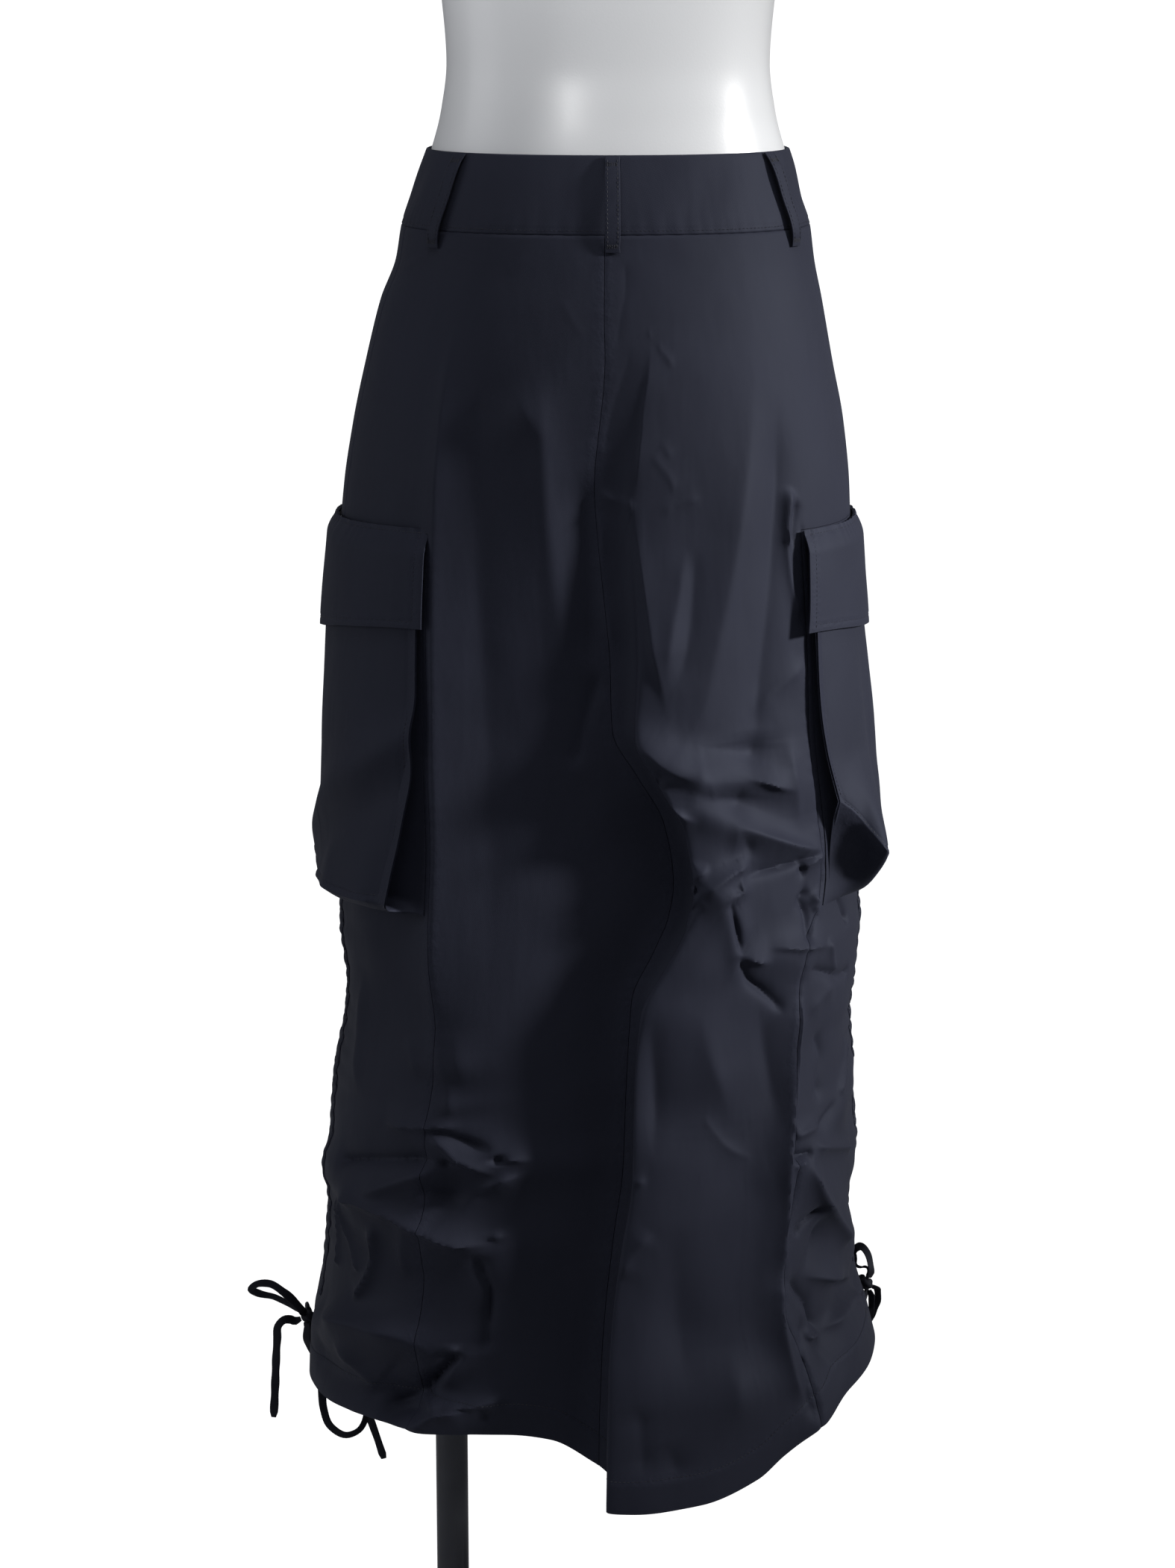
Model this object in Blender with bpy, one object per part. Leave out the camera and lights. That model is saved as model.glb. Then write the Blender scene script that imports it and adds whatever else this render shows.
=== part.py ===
"""Cargo utility skirt worn by a limbless dress form that stands on an off-centre pole.

Blender metres, +Z up.  The origin is the centre of the base disc's underside.  The skirt's back
faces -Y and its right side faces +X.

Every length in this file is in millimetres until body() makes a mesh of it.  A place on the cloth
is a column and a drop: the column runs once round the skirt (0 at the edge of the centre-back
fold, about 0.25 at the right side, 0.51 at the centre front, -0.25 at the left side) and the drop
is the distance below the waistband's top edge.
"""

import math

import bmesh
import bpy
import numpy as np

# ------------------------------------------------------------------ driving dimensions
METRES = 0.001  # metres in one millimetre
WAIST_TOP = 1190.0  # waistband's top edge above the floor
BAND_HEIGHT = 52.0
BAND_WALL = 2.4  # doubled cloth
CLOTH_WALL = 1.4
SEAM_GAP = 0.36  # air between two pieces at a seam
LAID_GAP = 0.7  # air between a panel and a piece that lies on it
POCKET_TOP = 266.0
FLAP_TOP = 250.0
FLAP_BOTTOM = 332.0
FLAP_WALL = 2.0
FLAP_OVERHANG = 0.016  # past the pocket at each edge, as a share of its width
LOOP_WIDTH = 10.0
LOOP_LENGTH = 62.0
LOOP_WALL = 1.6
GATHER_PITCH = 10.4  # one gather of a drawstring casing
GATHER_HEIGHT = 3.0
CASING_WIDTH = 30.0
TIE_DIAMETER = 3.6
KNOT_RADIUS = 5.0
TIE_GAP = 0.5  # between a knot and the cloth or a tie
BUTTON_DIAMETER = 17.0
FORM_CLEARANCE = 0.7  # between the waistband and the form that carries it
POLE_DIAMETER = 24.0
POLE_X = -116.0
BASE_DIAMETER = 360.0
BASE_THICKNESS = 8.0


def table(names, rows):
    """Named columns of numbers from rows of numbers."""
    return dict(zip(names.split(), np.array(rows, float).T))


# Half sizes of the skirt's outline seen from above, at drops below the waistband's top edge.
SECTIONS = table(
    "drop left right back front",
    [
        (0, 124, 124, 85, 86),
        (12, 128.5, 128, 88, 88),
        (32, 135, 133, 93, 91),
        (52, 142, 139, 98, 94),
        (75, 146, 142, 104, 97),
        (103, 157, 148, 111, 101),
        (145, 168, 156, 119, 106),
        (186, 177, 164, 122, 109),
        (228, 184, 169, 124, 112),
        (270, 188, 171, 126, 114),
        (330, 190, 174, 130, 117),
        (400, 190, 176, 135, 121),
        (466, 188, 176, 140, 126),
        (521, 190, 178, 145, 131),
        (544, 190, 181, 147, 133),
        (589, 186, 178, 150, 137),
        (611, 188, 175, 151, 139),
        (657, 196, 176, 153, 143),
        (715, 201, 182, 156, 148),
        (750, 202, 177, 158, 151),
        (796, 206, 176, 160, 154),
        (844, 212, 193, 163, 158),
        (880, 219, 201, 165, 160),
        (940, 222, 203, 167, 162),
    ],
)

# Where the cloth wanders sideways: the turn of the centre-back fold's edge and the shift of the
# seam behind the right pocket, at each drop.
WANDER = table(
    "drop fold_edge right_seam",
    [
        (0, 0.029, 0.000),
        (122, 0.029, 0.000),
        (225, 0.015, 0.004),
        (325, 0.017, 0.006),
        (383, 0.014, 0.006),
        (415, 0.028, 0.008),
        (448, 0.043, 0.014),
        (491, 0.048, 0.018),
        (513, 0.044, 0.012),
        (539, 0.032, -0.004),
        (572, 0.017, -0.008),
        (616, 0.014, -0.009),
        (689, 0.012, -0.013),
        (745, 0.005, -0.016),
        (795, 0.000, -0.016),
        (831, -0.002, -0.009),
        (925, -0.003, -0.004),
    ],
)

# Cross-section of the centre-back fold at full strength.  Along is measured on the cloth from the
# fold's edge: the right panel rolls over, runs back under itself and turns into a deep trough.
CENTRE_FOLD = table(
    "along sideways outward",
    [
        (-175, 0, 0),
        (-130, 5, -6),
        (-90, 14, -15),
        (-60, 22, -22),
        (-40, 28, -25),
        (-27, 32, -21),
        (-16, 29, -10),
        (-7, 15, 3),
        (0, 1, 9),
        (7, -3, 12),
        (20, -2, 12),
        (48, 0, 8),
        (95, 0, 2),
        (135, 0, 0),
    ],
)
FOLD_STRENGTH = table(
    "drop share",
    [(0, 0), (100, 0), (200, 0.2), (300, 0.45), (400, 0.75), (480, 1), (700, 1.05), (940, 1.15)],
)

# The hem's drop round the skirt: drawn up at both sides, longest at the centre back.
HEM = table(
    "column drop",
    [
        (-0.490, 915),
        (-0.400, 906),
        (-0.330, 896),
        (-0.237, 893),
        (-0.188, 889),
        (-0.130, 883),
        (-0.089, 884),
        (-0.066, 886),
        (-0.048, 892),
        (-0.030, 910),
        (-0.015, 924),
        (0.000, 930),
        (0.023, 931),
        (0.053, 929),
        (0.086, 917),
        (0.103, 903),
        (0.127, 887),
        (0.160, 871),
        (0.200, 866),
        (0.250, 864),
        (0.300, 872),
        (0.360, 888),
        (0.430, 905),
        (0.510, 915),
    ],
)

# The largest folds: half width, and a path of (column, drop, height), troughs with a minus sign.
FOLDS = {
    "left back drape": (44, ((-0.072, 170, 0), (-0.080, 320, 5), (-0.086, 600, 8), (-0.088, 890, 8))),
    "right knee, upper": (15, ((0.004, 388, 7), (0.040, 412, 7), (0.078, 416, 5), (0.115, 426, 2))),
    "right knee, lower": (15, ((0.006, 426, 6), (0.048, 446, 7), (0.118, 468, 3))),
    "right knee, cross": (14, ((0.010, 486, 3), (0.030, 495, 7), (0.066, 536, 5), (0.128, 541, 4))),
    "right seam ridge": (19, ((0.125, 560, 2), (0.127, 650, 6), (0.127, 800, 5), (0.127, 884, 6))),
    "right calf, upper": (15, ((0.112, 694, 2), (0.146, 680, 6), (0.186, 662, 5), (0.240, 650, 3))),
    "right calf, slant": (15, ((0.138, 700, 4), (0.160, 730, 6), (0.215, 785, 6), (0.250, 818, 3))),
    "right calf, hollow": (15, ((0.145, 826, -5), (0.190, 812, -7), (0.240, 830, -5))),
    "left calf, upper": (15, ((-0.136, 664, 2), (-0.100, 668, 6), (-0.060, 688, 5), (-0.036, 690, 1))),
    "left calf, side": (16, ((-0.225, 728, 6), (-0.160, 716, 6), (-0.095, 688, 2))),
    "left calf, middle": (16, ((-0.165, 735, 5), (-0.115, 738, 7), (-0.075, 748, 6), (-0.066, 800, 1))),
    "left ankle puff": (18, ((-0.232, 852, 5), (-0.180, 836, 8), (-0.124, 818, 6), (-0.086, 818, 1))),
    "left ankle hollow": (15, ((-0.190, 862, -5), (-0.125, 868, -8), (-0.092, 852, -6), (-0.078, 824, -2))),
    "left hem flip": (14, ((-0.135, 884, 4), (-0.108, 888, 7), (-0.086, 870, 5), (-0.062, 866, 2))),
    "front drape, left": (40, ((-0.420, 230, 0), (-0.430, 500, 8), (-0.425, 900, 10))),
    "front drape, centre": (34, ((-0.480, 260, 0), (-0.472, 560, -9), (-0.476, 900, -12))),
    "front drape, right": (42, ((0.440, 240, 0), (0.445, 520, 8), (0.440, 900, 10))),
    "front knee, left": (15, ((-0.290, 560, 5), (-0.345, 545, 6), (-0.400, 520, 2))),
    "front calf, left": (16, ((-0.270, 730, 6), (-0.330, 712, 6), (-0.395, 690, 2))),
    "front ankle, left": (17, ((-0.262, 846, 5), (-0.320, 832, 7), (-0.380, 826, 2))),
    "front knee, right": (15, ((0.300, 548, 5), (0.350, 530, 6), (0.420, 500, 2))),
    "front calf, right": (16, ((0.290, 700, 6), (0.345, 688, 6), (0.410, 664, 2))),
    "front ankle, right": (17, ((0.285, 812, 5), (0.340, 800, 7), (0.400, 806, 2))),
}

# Columns and drops of the seams and edges.
CENTRE_BACK = -0.028
BACK_SEAM_LEFT, BACK_SEAM_RIGHT = -0.107, 0.127
UPPER_SEAM_LEFT, UPPER_SEAM_RIGHT = -0.208, 0.208
SIDE_LEFT, SIDE_RIGHT = -0.237, 0.257
FRONT_SEAM_LEFT, FRONT_SEAM_RIGHT = -0.367, 0.387
FRONT_LEFT, FRONT_RIGHT = -0.490, 0.510  # both lie on the centre front
SEAM_STEP = FLAP_TOP  # the panels' seams step sideways here
HEM_RUN = 780.0  # below this drop the rows spread to the hem's own drop
LOWEST = 940.0

# Columns of the grid that every panel is made from, with the number of cells to the next one.
COLUMN_RUNS = (
    (FRONT_LEFT, 4),
    (FRONT_SEAM_LEFT, 5),
    (SIDE_LEFT, 1),
    (UPPER_SEAM_LEFT, 4),
    (BACK_SEAM_LEFT, 5),
    (CENTRE_BACK, 4),
    (-0.004, 2),
    (0.008, 2),
    (0.032, 5),
    (BACK_SEAM_RIGHT, 3),
    (UPPER_SEAM_RIGHT, 2),
    (SIDE_RIGHT, 5),
    (FRONT_SEAM_RIGHT, 4),
    (FRONT_RIGHT, 0),
)
# Drops of the grid's rows, closest where the cloth is gathered.
ROW_RUNS = (
    (BAND_HEIGHT + SEAM_GAP / 2, 2),
    (120, 4),
    (SEAM_STEP, 4),
    (370, 3),
    (430, 7),
    (555, 3),
    (645, 8),
    (780, 6),
    (LOWEST, 0),
)

FORM = table(
    "drop left right back front",
    [
        (-502, 49, 49, 52, 50),
        (-475, 51, 51, 55, 49),
        (-452, 60, 60, 62, 48),
        (-434, 88, 88, 71, 50),
        (-412, 128, 128, 82, 60),
        (-384, 153, 153, 92, 76),
        (-345, 162, 162, 98, 96),
        (-295, 156, 156, 99, 116),
        (-240, 145, 145, 95, 128),
        (-190, 134, 134, 88, 120),
        (-140, 121, 121, 80, 101),
        (-100, 113, 113, 76, 90),
        (-57, 110, 110, 74, 84),
        (-25, 114, 114, 77, 82),
    ],
)
FORM_BELOW = table(
    "drop left right back front",
    [
        (75, 141, 137, 99, 92),
        (103, 149, 141, 105, 95),
        (145, 158, 147, 112, 99),
        (186, 161, 151, 114, 101),
        (228, 161, 151, 111, 101),
        (270, 157, 148, 104, 97),
        (300, 153, 145, 98, 92),
        (312, 148, 140, 92, 87),
    ],
)
SEAT_DROPS = (0, 17, 34, BAND_HEIGHT)  # rows shared by the form and the waistband it carries

BELT_LOOPS = {
    "belt_loop_back": (0.003, 0.003),  # turn at the top and at the bottom
    "belt_loop_back_left": (-0.139, -0.144),
    "belt_loop_back_right": (0.158, 0.168),
    "belt_loop_front_left": (-0.348, -0.344),
    "belt_loop_front_right": (0.362, 0.358),
}

# Each pocket: columns of its back and front edges, its bottom, its depth at drops, how far the
# face's back edge leans towards the side at the bottom, and how much deeper its back corner is.
POCKET_DEPTH = table(
    "drop left right",
    [(266, 4.5, 4.5), (335, 7.5, 9.5), (400, 10, 14), (450, 13, 18), (512, 19, 24)],
)
POCKETS = {
    "left": dict(back=-0.110, front=-0.290, bottom=512.0, lean=0.012, corner=0.65),
    "right": dict(back=0.131, front=0.311, bottom=506.0, lean=0.006, corner=0.30),
}

CASINGS = {"left": (SIDE_LEFT, 520.0, 850.0), "right": (SIDE_RIGHT, 516.0, 838.0)}

# Each drawstring's knot rests on the cloth at this column and drop.
KNOTS = {"left": (-0.262, 863.0), "right": (0.288, 849.0)}
# Ties of the drawstrings as (x, y, drop) from the waistband's centre.  A first point, and a loop's
# last one, only gives the direction in which the tie leaves its knot.
TIES = {
    "tie_loop_left_upper": [
        (-225.5, 7, 858), (-231, 3, 849), (-240, -1, 838), (-250, -2, 831),
        (-260, -1, 832), (-264, 2, 837), (-259, 6, 842), (-248, 9, 846), (-237, 11, 853), (-230, 12.5, 858.5),
    ],
    "tie_loop_left_lower": [
        (-223.8, 10, 872), (-224.5, 11, 879), (-222.5, 18, 890), (-217.5, 25, 905), (-215, 25, 925),
        (-214, 24, 942), (-209, 24, 957), (-197, 23, 964), (-187, 24, 960), (-182, 27, 950),
        (-184, 31, 937), (-195, 35, 921), (-211, 38, 906), (-221, 34, 893), (-223.5, 26, 880), (-224.5, 19, 871),
    ],
    "tie_end_left_outer": [
        (-232, 12, 866), (-236, 11, 865), (-241, 9, 864.5), (-245, 7, 868), (-246, 6, 878),
        (-247, 5, 892), (-248, 5, 910), (-249, 5, 927), (-250, 5, 941),
    ],
    "tie_end_left_inner": [
        (-223, 24, 859), (-224.5, 29, 861), (-224.5, 37, 869), (-222, 43, 884), (-214, 46, 901),
        (-203, 44, 918), (-191, 39, 936), (-181, 33, 951), (-175, 29, 966), (-169, 27, 985),
    ],
    "tie_loop_right_upper": [
        (198.5, 38, 842), (199.6, 38, 834), (198, 44, 827), (194.5, 54, 824.5), (191, 63, 828),
        (188.8, 69, 835), (190.8, 64, 842.5), (194.5, 57, 841.5), (198, 50, 839.5), (197.5, 42.4, 844),
    ],
    "tie_loop_right_lower": [
        (198.6, 38.2, 852.4), (200.5, 37.5, 861), (200.5, 39, 871), (197, 43, 882), (191.5, 49, 891),
        (186.5, 55, 892), (189, 61.5, 886), (196, 60, 874), (197.5, 54, 864), (197.6, 48.5, 856.5),
        (197, 42.3, 851.3),
    ],
    "tie_end_right_outer": [
        (200.7, 40.6, 850.2), (205, 42.8, 853.2), (206, 45, 862), (203.5, 47.5, 872), (199.5, 51, 883),
        (194, 55, 893), (190, 58, 905),
    ],
    "tie_end_right_inner": [
        (196.9, 44, 848.2), (196.5, 52, 849), (195, 60, 852), (192.5, 69, 859), (190, 77, 869),
        (188, 83, 881), (185, 87, 897), (183, 89, 912),
    ],
}

# name: colour, roughness, metallic
MATERIALS = {
    "cloth": ((0.016, 0.017, 0.024), 0.62, 0.0),
    "tie_ribbon": ((0.012, 0.012, 0.015), 0.70, 0.0),
    "button": ((0.012, 0.012, 0.014), 0.35, 0.0),
    "form_shell": ((0.66, 0.67, 0.70), 0.28, 0.0),
    "stand_metal": ((0.055, 0.057, 0.068), 0.34, 0.9),
}


# ------------------------------------------------------------------ curves and grids
def through(knots, values, at):
    """Cubic curve through the values at the knots, level wherever they turn back."""
    steps = np.diff(knots)
    slopes = np.diff(values) / steps
    agree = slopes[1:] * slopes[:-1]
    total = slopes[1:] + slopes[:-1]
    middle = np.where(agree > 0, 2 * agree / np.where(total == 0, 1, total), 0)
    tangents = np.concatenate([slopes[:1], middle, slopes[-1:]])
    at = np.clip(at, knots[0], knots[-1])
    cell = np.clip(np.searchsorted(knots, at, side="right") - 1, 0, len(steps) - 1)
    width = steps[cell]
    s = (at - knots[cell]) / width
    rise = values[cell + 1] - values[cell]
    start = tangents[cell] * width
    end = tangents[cell + 1] * width
    return values[cell] + s * (start + s * ((3 * rise - 2 * start - end) + s * (start + end - 2 * rise)))


def runs(rows):
    """Evenly spaced values between each row's start and the next row's start."""
    values = []
    for (start, cells), (end, _) in zip(rows, rows[1:]):
        values += list(np.linspace(start, end, cells, endpoint=False))
    return np.array(values + [rows[-1][0]])


def bump(offset, reach):
    """1 at no offset, falling smoothly to 0 at the reach."""
    return np.clip(1 - (offset / reach) ** 2, 0, 1) ** 2


def smooth_step(value, start, end):
    s = np.clip((value - start) / (end - start), 0, 1)
    return s * s * (3 - 2 * s)


# ------------------------------------------------------------------ the cloth as one surface
FOLD_REACH = 0.105
SEAM_REACH = 0.09
GIRTH = 1150.0  # cloth in one turn near the centre back, for lengths along a row


def ring(turn, drop, sizes):
    """(x, y) on a rounded outline: an ellipse whose corners are a little square."""
    angle = 2 * math.pi * turn
    sine, cosine = np.sin(angle), np.cos(angle)
    half_x = np.where(
        sine > 0,
        through(sizes["drop"], sizes["right"], drop),
        through(sizes["drop"], sizes["left"], drop),
    )
    half_y = np.where(
        cosine > 0,
        through(sizes["drop"], sizes["back"], drop),
        through(sizes["drop"], sizes["front"], drop),
    )
    square = 1 + (0.03 + 0.04 * np.clip(drop / 500, 0, 1)) * np.sin(2 * angle) ** 2
    return half_x * sine * square, -half_y * cosine * square


def fold_height(column, drop):
    """Sum over the folds of height times a bell curve of the distance from the fold's path."""
    total = np.zeros(np.broadcast(column, drop).shape)
    for half_width, path in FOLDS.values():
        nearest = np.full(total.shape, np.inf)
        height = np.zeros(total.shape)
        for (c0, d0, h0), (c1, d1, h1) in zip(path, path[1:]):
            run, fall = (c1 - c0) * GIRTH, d1 - d0
            across, down = ((column - c0 + 0.5) % 1 - 0.5) * GIRTH, drop - d0
            s = np.clip((across * run + down * fall) / (run * run + fall * fall), 0, 1)
            distance = np.hypot(across - s * run, down - s * fall)
            closer = distance < nearest
            nearest = np.where(closer, distance, nearest)
            height = np.where(closer, h0 + (h1 - h0) * s, height)
        total = total + height * np.exp(-((nearest / half_width) ** 2))
    return total


def surface(column, drop):
    """Outer face of the cloth as (..., 3) points in millimetres, with z as a drop below zero."""
    column, drop = np.broadcast_arrays(np.asarray(column, float), np.asarray(drop, float))
    fold_edge = through(WANDER["drop"], WANDER["fold_edge"], drop)
    seam_shift = through(WANDER["drop"], WANDER["right_seam"], drop)
    turn = column + bump(column, FOLD_REACH) * fold_edge
    turn = turn + bump(column - BACK_SEAM_RIGHT, SEAM_REACH) * seam_shift
    x, y = ring(turn, drop, SECTIONS)
    ahead_x, ahead_y = ring(turn + 1e-4, drop, SECTIONS)
    length = np.hypot(ahead_x - x, ahead_y - y)
    along_x, along_y = (ahead_x - x) / length, (ahead_y - y) / length
    strength = through(FOLD_STRENGTH["drop"], FOLD_STRENGTH["share"], drop)
    along = column * GIRTH
    sideways = strength * through(CENTRE_FOLD["along"], CENTRE_FOLD["sideways"], along)
    outward = strength * through(CENTRE_FOLD["along"], CENTRE_FOLD["outward"], along)
    outward = outward + fold_height(column, drop)
    x = x + along_x * sideways + along_y * outward
    y = y + along_y * sideways - along_x * outward
    return np.stack([x, y, -drop], axis=-1)


def normals_of(point_at, column, drop):
    """Unit vectors out of the cloth, from the differences of its points."""
    across = point_at(column + 4e-4, drop) - point_at(column - 4e-4, drop)
    down = point_at(column, drop + 0.4) - point_at(column, drop - 0.4)
    normal = np.cross(down, across)
    return normal / np.linalg.norm(normal, axis=-1, keepdims=True)


def hung(column, drop):
    """A drop on the grid as the real drop there: below HEM_RUN the rows follow the hem."""
    hem = through(HEM["column"], HEM["drop"], column)
    share = np.clip((drop - HEM_RUN) / (LOWEST - HEM_RUN), 0, 1)
    return np.where(drop > HEM_RUN, HEM_RUN + share * (hem - HEM_RUN), drop)


COLUMNS = runs(COLUMN_RUNS)
ROWS = runs(ROW_RUNS)
GRID_DROPS = hung(COLUMNS[None, :], ROWS[:, None])
GRID = surface(COLUMNS[None, :], GRID_DROPS)
GRID_NORMALS = normals_of(surface, COLUMNS[None, :], GRID_DROPS)


def on_grid(column, row, out):
    """Points that lie out millimetres off the faceted panels, between their own grid points."""
    column, row, out = np.broadcast_arrays(*(np.asarray(v, float) for v in (column, row, out)))
    c = np.interp(column, COLUMNS, np.arange(len(COLUMNS)))
    r = np.interp(row, ROWS, np.arange(len(ROWS)))
    c0 = np.minimum(c.astype(int), len(COLUMNS) - 2)
    r0 = np.minimum(r.astype(int), len(ROWS) - 2)
    fc, fr = (c - c0)[..., None], (r - r0)[..., None]

    def between(values):
        upper = values[r0, c0] * (1 - fc) + values[r0, c0 + 1] * fc
        lower = values[r0 + 1, c0] * (1 - fc) + values[r0 + 1, c0 + 1] * fc
        return upper * (1 - fr) + lower * fr

    normal = between(GRID_NORMALS)
    normal = normal / np.linalg.norm(normal, axis=-1, keepdims=True)
    return between(GRID) + normal * out[..., None]


# ------------------------------------------------------------------ closed bodies from grids
def material(name):
    """The named material, made on first use."""
    if name in bpy.data.materials:
        return bpy.data.materials[name]
    colour, roughness, metallic = MATERIALS[name]
    made = bpy.data.materials.new(name)
    made.use_nodes = True
    shader = made.node_tree.nodes["Principled BSDF"]
    shader.inputs["Base Color"].default_value = (*colour, 1)
    shader.inputs["Roughness"].default_value = roughness
    shader.inputs["Metallic"].default_value = metallic
    return made


def body(name, points, faces, finish):
    """One closed mesh object; points are millimetres below the waistband's top edge."""
    placed = (np.asarray(points, float) + (0, 0, WAIST_TOP)) * METRES
    mesh = bpy.data.meshes.new(name)
    mesh.from_pydata(placed.tolist(), [], [list(map(int, face)) for face in faces])
    mesh.materials.append(material(finish))
    work = bmesh.new()
    work.from_mesh(mesh)
    bmesh.ops.recalc_face_normals(work, faces=work.faces)
    work.to_mesh(mesh)
    work.free()
    mesh.shade_smooth()
    mesh.set_sharp_from_angle(angle=math.radians(40))
    made = bpy.data.objects.new(name, mesh)
    bpy.context.scene.collection.objects.link(made)
    return made


def wall(name, outer, inner, finish, cells=None):
    """A closed wall between two grids of points, over the cells that are marked."""
    rows, columns = outer.shape[:2]
    if cells is None:
        cells = np.ones((rows - 1, columns - 1), bool)
    index = np.arange(rows * columns).reshape(rows, columns)
    back = rows * columns
    faces = []
    padded = np.pad(cells, 1)
    for r, c in zip(*np.nonzero(cells)):
        a, b, d, e = index[r, c], index[r, c + 1], index[r + 1, c + 1], index[r + 1, c]
        faces.append((a, e, d, b))
        faces.append((a + back, b + back, d + back, e + back))
        for open_side, start, end in (
            (not padded[r, c + 1], a, b),
            (not padded[r + 1, c + 2], b, d),
            (not padded[r + 2, c + 1], d, e),
            (not padded[r + 1, c], e, a),
        ):
            if open_side:
                faces.append((start, end, end + back, start + back))
    used = np.unique(np.concatenate([np.array(face) for face in faces]))
    renumber = np.full(2 * back, -1)
    renumber[used] = np.arange(len(used))
    points = np.concatenate([outer.reshape(-1, 3), inner.reshape(-1, 3)])[used]
    return body(name, points, [renumber[list(face)] for face in faces], finish)


def tube_body(name, rings, finish):
    """A closed body through rings of points, capped flat at both ends."""
    count, sides = rings.shape[:2]
    index = np.arange(count * sides).reshape(count, sides)
    after = np.roll(index, -1, axis=1)
    faces = [tuple(index[0]), tuple(index[-1])]
    for upper, upper_next, lower, lower_next in zip(index, after, index[1:], after[1:]):
        faces += list(zip(upper, upper_next, lower_next, lower))
    return body(name, rings.reshape(-1, 3), faces, finish)


def turned(name, profile, centre, sides, finish):
    """A closed outline of (radius, height above the floor) turned about a vertical axis."""
    profile = np.array(profile, float)
    angles = np.linspace(0, 2 * math.pi, sides, endpoint=False)
    x = centre[0] + profile[:, 0, None] * np.cos(angles)
    y = centre[1] + profile[:, 0, None] * np.sin(angles)
    z = np.broadcast_to(profile[:, 1, None] - WAIST_TOP, x.shape)
    rings = np.stack([x, y, z], axis=-1)
    if profile[0, 0] == profile[-1, 0] and profile[0, 1] == profile[-1, 1]:
        index = np.arange((len(profile) - 1) * sides).reshape(-1, sides)
        after = np.roll(index, -1, axis=1)
        below, below_after = np.roll(index, -1, axis=0), np.roll(after, -1, axis=0)
        faces = list(zip(*(grid.ravel() for grid in (index, after, below_after, below))))
        return body(name, rings[:-1].reshape(-1, 3), faces, finish)
    return tube_body(name, rings, finish)


# ------------------------------------------------------------------ panels
def panel_cells(*blocks):
    """Cells of the grid inside any block of (column, column, drop, drop)."""
    column = (COLUMNS[1:] + COLUMNS[:-1]) / 2
    row = (ROWS[1:] + ROWS[:-1]) / 2
    marked = np.zeros((len(row), len(column)), bool)
    for left, right, top, bottom in blocks:
        marked |= np.outer((row > top) & (row < bottom), (column > left) & (column < right))
    return marked


def drawn_in(points, cells):
    """The grid's points, with those on the marked cells' rim moved half a seam gap inwards."""
    corners = [points[:-1, :-1], points[:-1, 1:], points[1:, :-1], points[1:, 1:]]
    middles = sum(corners) / 4
    total = np.zeros_like(points)
    count = np.zeros(points.shape[:2])
    for rows in (slice(None, -1), slice(1, None)):
        for columns in (slice(None, -1), slice(1, None)):
            total[rows, columns] += np.where(cells[..., None], middles, 0)
            count[rows, columns] += cells
    rim = (count > 0) & (count < 4)
    towards = total / np.maximum(count, 1)[..., None] - points
    towards /= np.maximum(np.linalg.norm(towards, axis=-1, keepdims=True), 1e-9)
    nudge = SEAM_GAP * 0.62
    return points + np.where(rim[..., None], towards * nudge, 0)


def panel(name, *blocks):
    cells = panel_cells(*blocks)
    outer = drawn_in(GRID, cells)
    inner = outer - GRID_NORMALS * CLOTH_WALL
    return wall(name, outer, inner, "cloth", cells)


def build_panels():
    top, low = 0.0, LOWEST
    step = SEAM_STEP
    panel(
        "back_panel_left",
        (UPPER_SEAM_LEFT, CENTRE_BACK, top, step),
        (BACK_SEAM_LEFT, CENTRE_BACK, step, low),
    )
    panel(
        "back_panel_right",
        (CENTRE_BACK, UPPER_SEAM_RIGHT, top, step),
        (CENTRE_BACK, BACK_SEAM_RIGHT, step, low),
    )
    panel("side_panel_left", (FRONT_SEAM_LEFT, BACK_SEAM_LEFT, step, low))
    panel("side_panel_right", (BACK_SEAM_RIGHT, FRONT_SEAM_RIGHT, step, low))
    panel(
        "front_panel_left",
        (FRONT_LEFT, UPPER_SEAM_LEFT, top, step),
        (FRONT_LEFT, FRONT_SEAM_LEFT, step, low),
    )
    panel(
        "front_panel_right",
        (UPPER_SEAM_RIGHT, FRONT_RIGHT, top, step),
        (FRONT_SEAM_RIGHT, FRONT_RIGHT, step, low),
    )


# ------------------------------------------------------------------ waistband and belt loops
BAND_END = 0.028  # the buttoned end reaches this far past the centre front
BAND_LIFT = BAND_WALL + 0.7  # and lies this far out, over the other end
BAND_COLUMNS = 42


def on_band(turn, drop, out):
    """Points out millimetres off the waistband's outer face, or off the cloth just below it."""
    turn, drop = np.broadcast_arrays(np.asarray(turn, float), np.asarray(drop, float))
    x, y = ring(turn, drop, SECTIONS)
    flat = np.stack([x, y, -drop], axis=-1)

    def plain(at, down):
        px, py = ring(at, down, SECTIONS)
        return np.stack([px, py, -down], axis=-1)

    return flat + normals_of(plain, turn, drop) * np.asarray(out, float)[..., None]


def build_waistband():
    turn = np.linspace(FRONT_LEFT, FRONT_RIGHT + BAND_END, BAND_COLUMNS + 1)[None, :]
    drop = np.array(SEAT_DROPS, float)[:, None]
    drop[-1] -= SEAM_GAP
    lift = BAND_LIFT * smooth_step(turn, FRONT_RIGHT - 0.045, FRONT_RIGHT - 0.006)
    lift = np.broadcast_to(lift, (len(drop), turn.size))
    wall("waistband", on_band(turn, drop, lift), on_band(turn, drop, lift - BAND_WALL), "cloth")


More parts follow.
